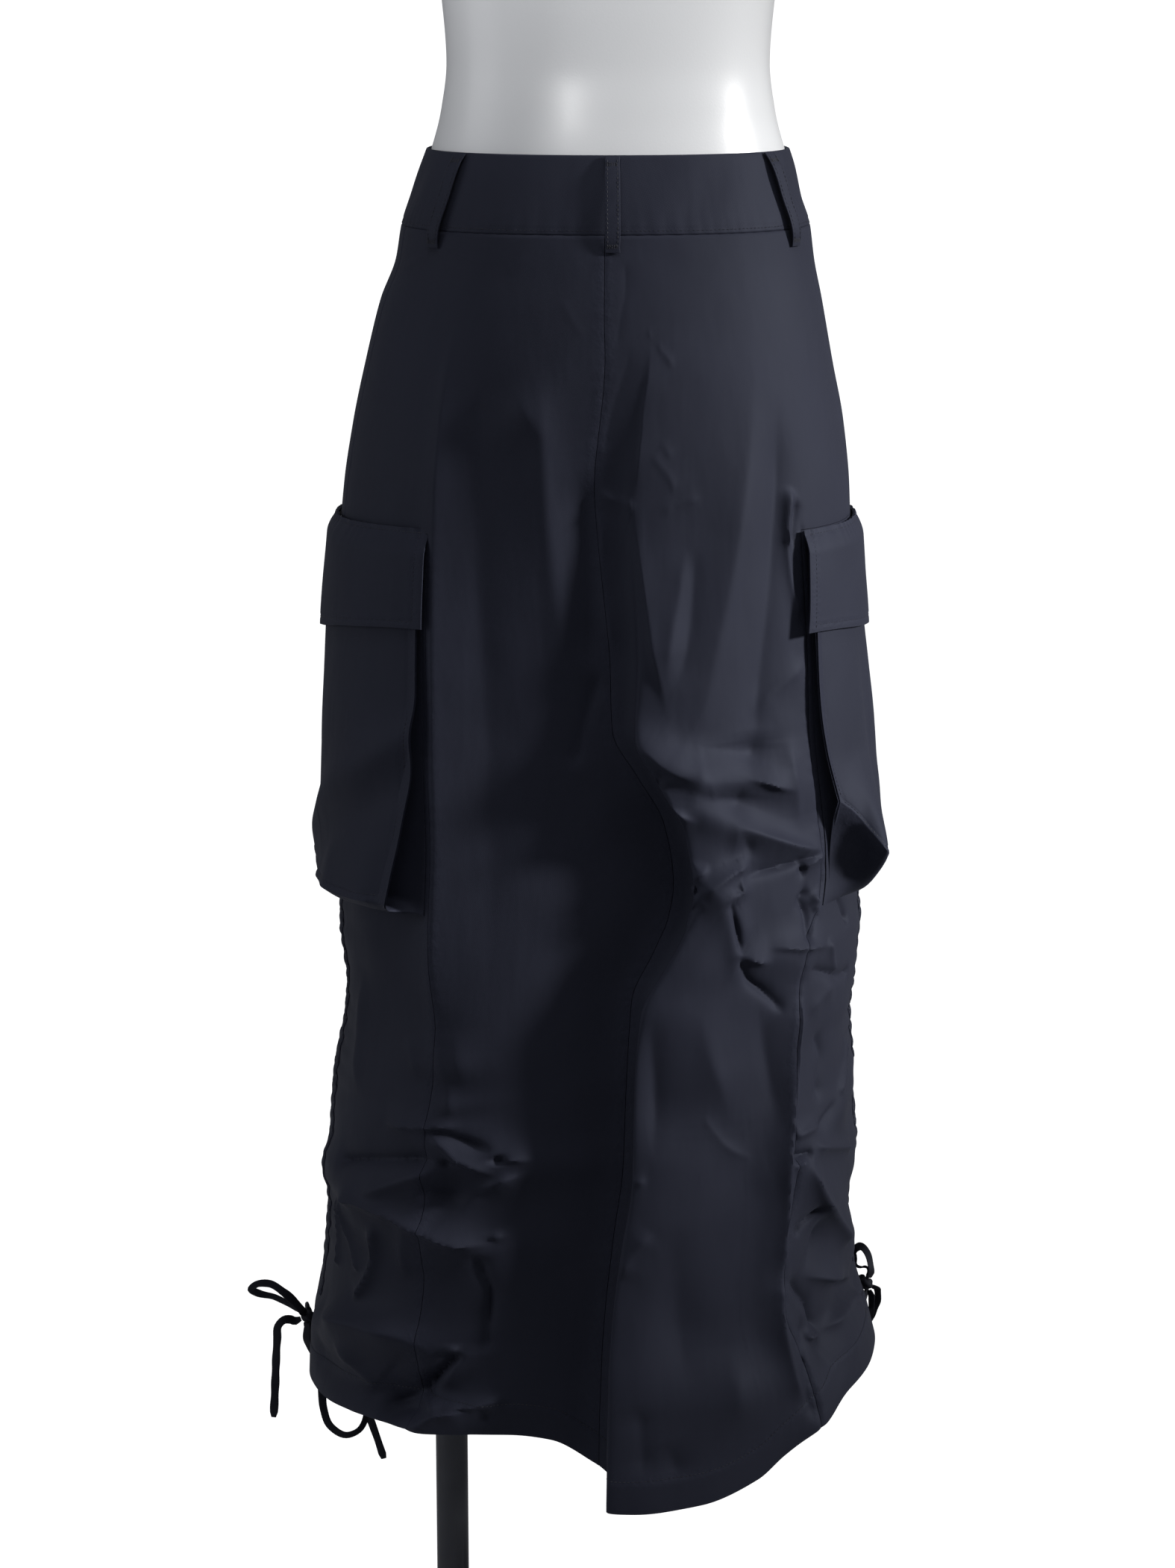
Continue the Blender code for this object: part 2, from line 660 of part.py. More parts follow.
def build_belt_loops():
    """A strip held at both ends that stands off the waistband between them."""
    share = np.linspace(0, 1, 7)
    for name, (top, bottom) in BELT_LOOPS.items():
        middle = top + (bottom - top) * share
        drop = 1.0 + LOOP_LENGTH * share
        x, y = ring(middle, drop, SECTIONS)
        ahead_x, ahead_y = ring(middle + 1e-3, drop, SECTIONS)
        half = LOOP_WIDTH / 2 * 1e-3 / np.hypot(ahead_x - x, ahead_y - y)
        turn = middle[:, None] + half[:, None] * np.array([-1, 0, 1])
        lift = LAID_GAP + 3.4 * (1 - (2 * share - 1) ** 4)
        lift = np.broadcast_to(lift[:, None], turn.shape)
        down = np.broadcast_to(drop[:, None], turn.shape)
        wall(name, on_band(turn, down, lift + LOOP_WALL), on_band(turn, down, lift), "cloth")


def build_button():
    centre = on_band(FRONT_RIGHT + BAND_END * 0.45, BAND_HEIGHT / 2, BAND_LIFT + 0.3)
    away = normals_of(lambda c, d: on_band(c, d, 0.0), FRONT_RIGHT + BAND_END * 0.45, BAND_HEIGHT / 2)
    side = np.cross((0, 0, 1), away)
    side /= np.linalg.norm(side)
    up = np.cross(away, side)
    angles = np.linspace(0, 2 * math.pi, 24, endpoint=False)
    circle = np.cos(angles)[:, None] * side + np.sin(angles)[:, None] * up
    radius = BUTTON_DIAMETER / 2
    profile = ((radius * 0.55, 0.3), (radius * 0.9, 0.7), (radius, 1.6), (radius * 0.9, 2.8), (radius * 0.7, 2.4))
    rings = np.array([centre + circle * size + away * height for size, height in profile])
    tube_body("waist_button", rings, "button")


def build_fly():
    """A strip beside the centre front whose lower end curves into the seam."""
    width, top, bottom, curve = 0.034, 55.0, 216.0, 46.0
    down = np.linspace(top, bottom, 10)[:, None]
    past = np.clip((down - (bottom - curve)) / curve, 0, 0.985)
    reach = width * np.sqrt(1 - past**2)
    column = FRONT_RIGHT - 0.0012 - reach * np.linspace(1, 0, 5)[None, :]
    outer = on_grid(column, down, LAID_GAP + CLOTH_WALL)
    wall("fly_placket", outer, on_grid(column, down, LAID_GAP), "cloth")


# ------------------------------------------------------------------ cargo pockets
# From a pocket's seam to its face: inset from the seam, whether the gusset folds inwards there,
# share of the depth, and how far inside it the wall's other face lies.
GUSSET = table(
    "inset fold rise wall",
    [
        (0.0, 0, 0.0, 2.2),
        (1.2, 1, 0.4, 1.5),
        (2.4, 0, 1.0, 2.3),
    ],
)
GUSSET_FOLD = 0.3  # how far the gusset folds in, as a share of the pocket's depth
TURN_LENGTH = 1000.0  # cloth in one turn at the sides


def face_and_gussets(shares, starts_with_gusset):
    """Columns of a pocket's grid: the face's shares with a gusset before, if any, and after."""
    inner = np.zeros(len(shares))
    line = dict(share=np.array(shares, float), inset=inner, fold=inner, rise=inner + 1, wall=inner)
    for key in line:
        edge = GUSSET.get(key, np.zeros(3))
        after = edge[::-1] if key in ("share", "rise") else -edge[::-1]
        after = after + (1 if key == "share" else 0)
        before = edge if starts_with_gusset else edge[:0]
        line[key] = np.concatenate([before, line[key], after])
    return line


def own_lines(lines, start, end, margin):
    """The panels' own grid lines between a pocket's two edges, as shares of the way across."""
    share = (lines - start) / (end - start)
    edge = margin / abs(end - start)
    return np.sort(share[(share > edge) & (share < 1 - edge)])


def face_columns(side):
    return own_lines(COLUMNS, POCKETS[side]["back"], POCKETS[side]["front"], 0.008)


def face_rows(side):
    rows = own_lines(ROWS, POCKET_TOP, POCKETS[side]["bottom"], 8.0)
    return np.concatenate([[0.0], rows])


def pocket_out(side, share_across, drop):
    """How far the pocket's face stands off the panel, deeper towards the bottom back corner."""
    pocket = POCKETS[side]
    depth = through(POCKET_DEPTH["drop"], POCKET_DEPTH[side], drop)
    fall = np.clip((drop - POCKET_TOP) / (pocket["bottom"] - POCKET_TOP), 0, 1)
    return depth * (1 + pocket["corner"] * (1 - share_across) ** 2 * fall**2)


def build_pocket(side):
    """A tray on the side panel, open at the top under its flap."""
    pocket = POCKETS[side]
    width = pocket["front"] - pocket["back"]
    height = pocket["bottom"] - POCKET_TOP
    across = {key: values[None, :] for key, values in face_and_gussets(face_columns(side), True).items()}
    down = {key: values[:, None] for key, values in face_and_gussets(face_rows(side), False).items()}
    drop = POCKET_TOP + height * down["share"] + 0 * across["share"]
    depth = pocket_out(side, across["share"], drop)
    lean = pocket["lean"] * (1 - across["share"]) * across["rise"] * down["rise"] * down["share"] ** 2
    inset = across["inset"] + GUSSET_FOLD * depth * across["fold"] * down["rise"]
    drop = drop + down["inset"] + GUSSET_FOLD * depth * down["fold"] * across["rise"]
    inwards = math.copysign(1, width)
    column = pocket["back"] + width * across["share"] + inwards * (lean + inset / TURN_LENGTH)
    rise = down["rise"] * across["rise"]
    face = (down["rise"] == 1) & (across["rise"] == 1)
    outer = on_grid(column, drop, LAID_GAP + rise * depth)
    inner = on_grid(
        column + inwards * across["wall"] / TURN_LENGTH,
        drop + down["wall"],
        LAID_GAP + rise * depth - np.where(face, CLOTH_WALL, 0),
    )
    wall(f"pocket_{side}", outer, inner, "cloth")


def build_flap(side):
    """A doubled flap that is stitched down along its top and lies over the pocket's mouth."""
    pocket = POCKETS[side]
    width = pocket["front"] - pocket["back"]
    share = np.concatenate([[-FLAP_OVERHANG], face_columns(side), [1 + FLAP_OVERHANG]])[None, :]
    drop = np.array([FLAP_TOP + 2, 260, POCKET_TOP, 283, 300, 317, FLAP_BOTTOM], float)[:, None]
    column = pocket["back"] + width * share
    over = smooth_step(drop, FLAP_TOP, POCKET_TOP)
    over_pocket = LAID_GAP + 1.3 + pocket_out(side, np.clip(share, 0, 1), np.maximum(drop, POCKET_TOP))
    out = LAID_GAP + over * (over_pocket - LAID_GAP)
    wall(f"pocket_flap_{side}", on_grid(column, drop, out + FLAP_WALL), on_grid(column, drop, out), "cloth")


# ------------------------------------------------------------------ gathered casings and ties
def build_casing(side):
    """A strip drawn up into many small gathers, three rows of points to each gather."""
    middle, top, bottom = CASINGS[side]
    gathers = round((bottom - top) / GATHER_PITCH)
    row = np.linspace(top, bottom, gathers * 3 + 1)[:, None]
    half = CASING_WIDTH / 2 / 1000.0
    column = middle + half * np.array([-1.0, 0.0, 1.0])[None, :]
    phase = np.linspace(0, 2 * math.pi * gathers, gathers * 3 + 1)[:, None]
    uneven = 1 + 0.25 * np.sin(phase * 0.37 + 1.3)
    swell = np.array([0.55, 1.0, 0.55])[None, :]
    out = 0.5 + GATHER_HEIGHT / 2 * uneven * swell * (1 - np.cos(phase + math.pi / 3))
    wall(f"casing_{side}", on_grid(column, row, out + CLOTH_WALL), on_grid(column, row, out), "cloth")


def knot_centre(side):
    """The middle of a knot that rests on the side panel."""
    column, drop = KNOTS[side]
    hem = through(HEM["column"], HEM["drop"], column)
    row = HEM_RUN + (drop - HEM_RUN) / (hem - HEM_RUN) * (LOWEST - HEM_RUN)
    return on_grid(column, row, TIE_GAP + KNOT_RADIUS)


def build_knot(side):
    x, y, z = knot_centre(side)
    tilts = np.radians([-75, -45, -15, 15, 45, 75])[:, None]
    angles = np.linspace(0, 2 * math.pi, 12, endpoint=False)[None, :]
    across = KNOT_RADIUS * np.cos(tilts)
    up = z + KNOT_RADIUS * np.sin(tilts) + 0 * angles
    rings = np.stack([x + across * np.cos(angles), y + across * np.sin(angles), up], axis=-1)
    tube_body(f"tie_knot_{side}", rings, "tie_ribbon")


def smooth_route(points, spacing):
    """Points at even spacing on a smooth curve through the route's own points."""
    points = np.array(points, float)
    lengths = np.concatenate([[0], np.cumsum(np.linalg.norm(np.diff(points, axis=0), axis=1))])
    slopes = np.gradient(points, lengths, axis=0)
    count = max(int(lengths[-1] / spacing), 6)
    at = np.linspace(0, lengths[-1], count + 1)
    cell = np.clip(np.searchsorted(lengths, at, side="right") - 1, 0, len(points) - 2)
    width = np.diff(lengths)[cell][:, None]
    s = ((at - lengths[cell]) / width[:, 0])[:, None]
    start, end = points[cell], points[cell + 1]
    out, into = slopes[cell] * width, slopes[cell + 1] * width
    return start + s * (out + s * ((3 * (end - start) - 2 * out - into) + s * (out + into - 2 * (end - start))))


def off_knot(centre, towards):
    """Two points that lead straight out of a knot."""
    away = (towards - centre) / np.linalg.norm(towards - centre)
    return [centre + away * (KNOT_RADIUS + TIE_GAP), centre + away * (KNOT_RADIUS + TIE_GAP + 5)]


def build_tie(name, points):
    centre = knot_centre("left" if "left" in name else "right")
    points = [np.array((x, y, -drop)) for x, y, drop in points]
    last = off_knot(centre, points[-1])[::-1] if "loop" in name else points[-1:]
    route = smooth_route(off_knot(centre, points[0]) + points[1:-1] + last, TIE_DIAMETER * 2.7)
    curve = bpy.data.curves.new(name, "CURVE")
    curve.dimensions = "3D"
    curve.bevel_depth = TIE_DIAMETER / 2 * METRES
    curve.bevel_resolution = 2
    curve.use_fill_caps = True
    spline = curve.splines.new("POLY")
    spline.points.add(len(route) - 1)
    for point, (x, y, z) in zip(spline.points, route):
        point.co = (x * METRES, y * METRES, (z + WAIST_TOP) * METRES, 1)
    curve.materials.append(material("tie_ribbon"))
    made = bpy.data.objects.new(name, curve)
    bpy.context.scene.collection.objects.link(made)


# ------------------------------------------------------------------ dress form and stand
FORM_SIDES = 28
STAND_SIDES = 20


def build_form():
    """Torso through rounded rings; at the waistband it is the band's inside less a clearance."""
    turn = np.linspace(0, 1, FORM_SIDES, endpoint=False)
    rings = []
    for drop in FORM["drop"]:
        x, y = ring(turn, np.full(turn.shape, drop), FORM)
        rings.append(np.stack([x, y, np.full(turn.shape, -drop)], axis=-1))
    for drop in SEAT_DROPS:
        rings.append(on_band(turn, np.full(turn.shape, float(drop)), np.full(turn.shape, -BAND_WALL - FORM_CLEARANCE)))
    for drop in FORM_BELOW["drop"]:
        x, y = ring(turn, np.full(turn.shape, drop), FORM_BELOW)
        rings.append(np.stack([x, y, np.full(turn.shape, -drop)], axis=-1))
    tube_body("dress_form", np.array(rings), "form_shell")


def build_stand():
    form_bottom = WAIST_TOP - FORM_BELOW["drop"][-1]
    pole_top = form_bottom - 0.3
    pole_foot = BASE_THICKNESS + 0.3
    radius = POLE_DIAMETER / 2
    bore = radius + 0.3
    centre = (POLE_X, 0.0)
    turned("stand_pole", [(radius, pole_top), (radius, pole_foot)], centre, STAND_SIDES, "stand_metal")
    turned(
        "form_collar",
        [
            (bore, pole_top), (radius + 10, pole_top), (radius + 10, pole_top - 22),
            (radius + 7, pole_top - 28), (bore, pole_top - 28), (bore, pole_top),
        ],
        centre, STAND_SIDES, "stand_metal",
    )
    turned(
        "base_hub",
        [
            (bore, pole_foot), (bore, pole_foot + 26), (radius + 8, pole_foot + 26),
            (radius + 14, pole_foot + 18), (radius + 20, pole_foot), (bore, pole_foot),
        ],
        centre, STAND_SIDES, "stand_metal",
    )
    rim = BASE_DIAMETER / 2
    turned(
        "base_disc",
        [(rim - 1, 0), (rim, 1), (rim, BASE_THICKNESS - 2), (rim - 2, BASE_THICKNESS)],
        (0.0, 0.0), 2 * STAND_SIDES, "stand_metal",
    )


# ------------------------------------------------------------------ the whole part
for old in list(bpy.data.objects):
    bpy.data.objects.remove(old, do_unlink=True)

build_waistband()
build_belt_loops()
build_button()
build_panels()
build_fly()
for garment_side in ("left", "right"):
    build_pocket(garment_side)
    build_flap(garment_side)
    build_casing(garment_side)
    build_knot(garment_side)
for tie_name, tie_points in TIES.items():
    build_tie(tie_name, tie_points)
build_form()
build_stand()
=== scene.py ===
"""A cargo utility skirt on its dress form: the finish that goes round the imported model.

The file is a lesson in cells.  Every length of the skirt is in millimetres, measured down from the
waistband's top edge, until make_mesh() turns it into the scene's metres.  A place on the cloth is a
column and a drop: the column runs once round the skirt (0 at the edge of the centre-back fold,
about 0.25 at the right side, 0.51 at the centre front, -0.25 at the left side) and the drop is the
distance below the waistband's top edge.
"""

# %% [markdown]
# ## The imported model
# The skirt's solids were made and packed first, and every piece below is fitted round them.  Loading
# them gives the frame: nothing in it is moved, and a finer piece only stands in for a plain one.

# %% Load the imported model
import math

import bpy
import numpy as np
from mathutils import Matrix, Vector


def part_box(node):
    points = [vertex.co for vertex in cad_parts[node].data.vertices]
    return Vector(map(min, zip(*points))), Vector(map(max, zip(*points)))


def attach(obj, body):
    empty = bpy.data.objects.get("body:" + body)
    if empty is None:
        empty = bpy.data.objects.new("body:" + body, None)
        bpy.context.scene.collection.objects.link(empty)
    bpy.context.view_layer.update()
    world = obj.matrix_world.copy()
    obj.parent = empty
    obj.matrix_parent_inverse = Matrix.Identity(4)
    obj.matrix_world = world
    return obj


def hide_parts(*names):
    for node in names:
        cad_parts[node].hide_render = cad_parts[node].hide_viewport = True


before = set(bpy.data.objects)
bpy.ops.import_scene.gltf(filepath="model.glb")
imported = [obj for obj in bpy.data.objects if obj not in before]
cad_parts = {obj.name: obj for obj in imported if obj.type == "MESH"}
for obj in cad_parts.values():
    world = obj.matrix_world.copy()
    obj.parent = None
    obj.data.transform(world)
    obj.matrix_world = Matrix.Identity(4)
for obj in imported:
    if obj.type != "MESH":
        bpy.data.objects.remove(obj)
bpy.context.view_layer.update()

# %% [markdown]
# ## The camera
# The stand is seen from behind the skirt, from a little above the waist, looking down so that the
# waistband is seen almost level and the hem from above.  A long lens keeps the sides upright.

# %% Camera
METRES = 0.001  # metres in one millimetre
WAIST_TOP = 1190.0  # waistband's top edge above the floor
CAMERA_PLACE = (-0.014, -2.4, 1.339)
CAMERA_TILT = 14.0  # degrees below level
CAMERA_LENS = 79.33

camera = bpy.data.objects.new("camera", bpy.data.cameras.new("camera"))
bpy.context.scene.collection.objects.link(camera)
camera.location = CAMERA_PLACE
camera.rotation_euler = (math.radians(90 - CAMERA_TILT), 0, 0)
camera.data.lens = CAMERA_LENS
bpy.context.scene.camera = camera
print("camera", CAMERA_PLACE, "tilted", CAMERA_TILT, "degrees")

# %% [markdown]
# ## Tables and curves
# A pattern maker notes sizes at a few heights and draws a fair curve through them.  These helpers
# do the same with arrays: a table holds named columns, and a cubic that never overshoots joins
# the values, so a hip stays as wide as it was measured.


# %% Curves through tables
def table(names, rows):
    """Named columns of numbers from rows of numbers."""
    return dict(zip(names.split(), np.array(rows, float).T))


def cubic(s, start, end, leaving, arriving):
    """Cubic in s, from start at 0 to end at 1, with these slopes as it leaves and arrives."""
    rise = end - start
    third = leaving + arriving - 2 * rise
    return start + s * (leaving + s * (3 * rise - 2 * leaving - arriving + s * third))


def through(knots, values, at):
    """Cubic curve through the values at the knots, level wherever they turn back."""
    steps = np.diff(knots)
    slopes = np.diff(values) / steps
    agree = slopes[1:] * slopes[:-1]
    total = slopes[1:] + slopes[:-1]
    middle = np.where(agree > 0, 2 * agree / np.where(total == 0, 1, total), 0)
    tangents = np.concatenate([slopes[:1], middle, slopes[-1:]])
    at = np.clip(at, knots[0], knots[-1])
    cell = np.clip(np.searchsorted(knots, at, side="right") - 1, 0, len(steps) - 1)
    width = steps[cell]
    s = (at - knots[cell]) / width
    return cubic(s, values[cell], values[cell + 1], tangents[cell] * width, tangents[cell + 1] * width)


def bump(offset, reach):
    """1 at no offset, falling smoothly to 0 at the reach: (1 - (offset / reach)^2)^2."""
    return np.clip(1 - (offset / reach) ** 2, 0, 1) ** 2


def hill(offset, width):
    """1 at no offset, falling away on both sides as exp(-(offset / width)^2)."""
    return np.exp(-((offset / width) ** 2))


def smooth_step(value, start, end):
    """0 before the start, 1 after the end, and 3s^2 - 2s^3 between them."""
    s = np.clip((value - start) / (end - start), 0, 1)
    return s * s * (3 - 2 * s)


def runs(rows):
    """Evenly spaced values between each row's start and the next row's start."""
    values = [np.linspace(a, b, cells, endpoint=False) for (a, cells), (b, _) in zip(rows, rows[1:])]
    return np.concatenate(values + [[rows[-1][0]]])


def unit(vectors):
    """The vectors at length 1."""
    return vectors / np.maximum(np.linalg.norm(vectors, axis=-1, keepdims=True), 1e-9)


def distances(points):
    """How far along the path each of its points lies: the sum of the stretches before it."""
    return np.concatenate([[0], np.cumsum(np.linalg.norm(np.diff(points, axis=0), axis=1))])


def once_round(count):
    """Even angles once round a circle."""
    return np.linspace(0, 2 * math.pi, count, endpoint=False)


def blunted(wave, power):
    """A sine or cosine with its size raised to a power below 1, which squares an oval's corners."""
    return np.sign(wave) * np.abs(wave) ** power


def same_shape(*values):
    """The values as arrays of one shape."""
    return np.broadcast_arrays(*(np.asarray(value, float) for value in values))


print("a curve through 0, 1, 0 at the quarter:", through(np.arange(3.0), np.array([0, 1, 0.0]), 0.5))

# %% [markdown]
# ## The hanging cloth as one surface
# The skirt hangs from the waist in one sheet with the seams sewn into it, so one surface serves
# every panel.  Its outline at each drop is an ellipse with slightly squared corners.  The centre
# back carries a deep fold: the right side rolls over, runs back under itself and falls into a
# trough, which is a cross-section pushed along and out of the outline.  These numbers are the same
# as in the solids, so that each piece lies on its own solid.

# %% Sizes of the skirt
BAND_HEIGHT = 52.0
BAND_WALL = 2.4  # doubled cloth
CLOTH_WALL = 1.4
SEAM_GAP = 0.36
LAID_GAP = 0.7  # air between a panel and a piece that lies on it
GIRTH = 1150.0  # cloth in one turn near the centre back
TURN_LENGTH = 1000.0  # cloth in one turn at the sides
FOLD_REACH, SEAM_REACH = 0.105, 0.09  # turns over which the fold's edge and the right seam wander

SECTIONS = table(
    "drop left right back front",
    [
        (0, 124, 124, 85, 86), (12, 128.5, 128, 88, 88), (32, 135, 133, 93, 91),
        (52, 142, 139, 98, 94), (75, 146, 142, 104, 97), (103, 157, 148, 111, 101),
        (145, 168, 156, 119, 106), (186, 177, 164, 122, 109), (228, 184, 169, 124, 112),
        (270, 188, 171, 126, 114), (330, 190, 174, 130, 117), (400, 190, 176, 135, 121),
        (466, 188, 176, 140, 126), (521, 190, 178, 145, 131), (544, 190, 181, 147, 133),
        (589, 186, 178, 150, 137), (611, 188, 175, 151, 139), (657, 196, 176, 153, 143),
        (715, 201, 182, 156, 148), (750, 202, 177, 158, 151), (796, 206, 176, 160, 154),
        (844, 212, 193, 163, 158), (880, 219, 201, 165, 160), (940, 222, 203, 167, 162),
    ],
)
WANDER = table(
    "drop fold_edge right_seam",
    [
        (0, 0.029, 0.000), (122, 0.029, 0.000), (225, 0.015, 0.004), (325, 0.017, 0.006),
        (383, 0.014, 0.006), (415, 0.028, 0.008), (448, 0.043, 0.014), (491, 0.048, 0.018),
        (513, 0.044, 0.012), (539, 0.032, -0.004), (572, 0.017, -0.008), (616, 0.014, -0.009),
        (689, 0.012, -0.013), (745, 0.005, -0.016), (795, 0.000, -0.016), (831, -0.002, -0.009),
        (925, -0.003, -0.004),
    ],
)
CENTRE_FOLD = table(
    "along sideways outward",
    [
        (-175, 0, 0), (-130, 5, -6), (-90, 14, -15), (-60, 22, -22), (-40, 28, -25),
        (-27, 32, -21), (-16, 29, -10), (-7, 15, 3), (0, 1, 9), (7, -3, 12), (20, -2, 12),
        (48, 0, 8), (95, 0, 2), (135, 0, 0),
    ],
)
FOLD_STRENGTH = table(
    "drop share",
    [(0, 0), (100, 0), (200, 0.2), (300, 0.45), (400, 0.75), (480, 1), (700, 1.05), (940, 1.15)],
)
HEM = table(
    "column drop",
    [
        (-0.490, 915), (-0.400, 906), (-0.330, 896), (-0.237, 893), (-0.188, 889), (-0.130, 883),
        (-0.089, 884), (-0.066, 886), (-0.048, 892), (-0.030, 910), (-0.015, 924), (0.000, 930),
        (0.023, 931), (0.053, 929), (0.086, 917), (0.103, 903), (0.127, 887), (0.160, 871),
        (0.200, 866), (0.250, 864), (0.300, 872), (0.360, 888), (0.430, 905), (0.510, 915),
    ],
)
print("hem from", HEM["drop"].min(), "to", HEM["drop"].max(), "mm below the waist")

# %% [markdown]
# ## Where the seams run
# The panels are cut with their seams at fixed columns.  Above the pocket flaps the side seams lie
# further round, where the yoke of the hips ends, and the columns step there.

# %% Columns of the seams
CENTRE_BACK = -0.028
BACK_SEAM_LEFT, BACK_SEAM_RIGHT = -0.107, 0.127
UPPER_SEAM_LEFT, UPPER_SEAM_RIGHT = -0.208, 0.208
SIDE_LEFT, SIDE_RIGHT = -0.237, 0.257
FRONT_SEAM_LEFT, FRONT_SEAM_RIGHT = -0.367, 0.387
FRONT_LEFT, FRONT_RIGHT = -0.490, 0.510
SEAM_STEP = 250.0  # drop
HEM_RUN, LOWEST = 780.0, 940.0  # between these drops the grid's rows spread to follow the hem
HEM_STITCHES = 24.0  # height of the hem's stitching above its edge

SEAMS = {  # column, first drop, last drop, depth of the groove
    "centre back": (CENTRE_BACK, BAND_HEIGHT, 1000, 0.3),
    "upper left": (UPPER_SEAM_LEFT, BAND_HEIGHT, SEAM_STEP, 0.5),
    "upper right": (UPPER_SEAM_RIGHT, BAND_HEIGHT, SEAM_STEP, 0.5),
    "back left": (BACK_SEAM_LEFT, SEAM_STEP, 1000, 0.3),
    "back right": (BACK_SEAM_RIGHT, SEAM_STEP, 1000, 1.1),
    "front left": (FRONT_SEAM_LEFT, SEAM_STEP, 1000, 0.8),
    "front right": (FRONT_SEAM_RIGHT, SEAM_STEP, 1000, 0.8),
    "centre front": (FRONT_RIGHT, BAND_HEIGHT, 1000, 0.5),
}
CASINGS = {  # column, first drop, last drop
    "left": (SIDE_LEFT, 520.0, 850.0),
    "right": (SIDE_RIGHT, 516.0, 838.0),
}
GATHER_PITCH = 10.4
print("seams:", ", ".join(SEAMS))

# %% [markdown]
# ## Large folds and small creases
# The largest folds are wide soft lumps and are in the solids already.  Between them the thin
# cloth breaks into creases: each is pinched sharply on one side and lies down softly on the other.
# A crease is a path on the cloth, a height (a trough has a minus sign) and a width on each side of
# the path: the first where the path, walked from left to right, has the waist, the second below.

# %% Large folds: half width, and a path of (thousandths of a turn, drop, height)
PATH_TURN = 0.001  # the unit of a path's first number, in turns
FOLDS = {
    "left back drape": (44, ((-72, 170, 0), (-80, 320, 5), (-86, 600, 8), (-88, 890, 8))),
    "right knee, upper": (15, ((4, 388, 7), (40, 412, 7), (78, 416, 5), (115, 426, 2))),
    "right knee, lower": (15, ((6, 426, 6), (48, 446, 7), (118, 468, 3))),
    "right knee, cross": (14, ((10, 486, 3), (30, 495, 7), (66, 536, 5), (128, 541, 4))),
    "right seam ridge": (19, ((125, 560, 2), (127, 650, 6), (127, 800, 5), (127, 884, 6))),
    "right calf, upper": (15, ((112, 694, 2), (146, 680, 6), (186, 662, 5), (240, 650, 3))),
    "right calf, slant": (15, ((138, 700, 4), (160, 730, 6), (215, 785, 6), (250, 818, 3))),
    "right calf, hollow": (15, ((145, 826, -5), (190, 812, -7), (240, 830, -5))),
    "left calf, upper": (15, ((-136, 664, 2), (-100, 668, 6), (-60, 688, 5), (-36, 690, 1))),
    "left calf, side": (16, ((-225, 728, 6), (-160, 716, 6), (-95, 688, 2))),
    "left calf, middle": (16, ((-165, 735, 5), (-115, 738, 7), (-75, 748, 6), (-66, 800, 1))),
    "left ankle puff": (18, ((-232, 852, 5), (-180, 836, 8), (-124, 818, 6), (-86, 818, 1))),
    "left ankle hollow": (15, ((-190, 862, -5), (-125, 868, -8), (-92, 852, -6), (-78, 824, -2))),
    "left hem flip": (14, ((-135, 884, 4), (-108, 888, 7), (-86, 870, 5), (-62, 866, 2))),
    "front drape, left": (40, ((-420, 230, 0), (-430, 500, 8), (-425, 900, 10))),
    "front drape, centre": (34, ((-480, 260, 0), (-472, 560, -9), (-476, 900, -12))),
    "front drape, right": (42, ((440, 240, 0), (445, 520, 8), (440, 900, 10))),
    "front knee, left": (15, ((-290, 560, 5), (-345, 545, 6), (-400, 520, 2))),
    "front calf, left": (16, ((-270, 730, 6), (-330, 712, 6), (-395, 690, 2))),
    "front ankle, left": (17, ((-262, 846, 5), (-320, 832, 7), (-380, 826, 2))),
    "front knee, right": (15, ((300, 548, 5), (350, 530, 6), (420, 500, 2))),
    "front calf, right": (16, ((290, 700, 6), (345, 688, 6), (410, 664, 2))),
    "front ankle, right": (17, ((285, 812, 5), (340, 800, 7), (400, 806, 2))),
}
print(len(FOLDS), "large folds")

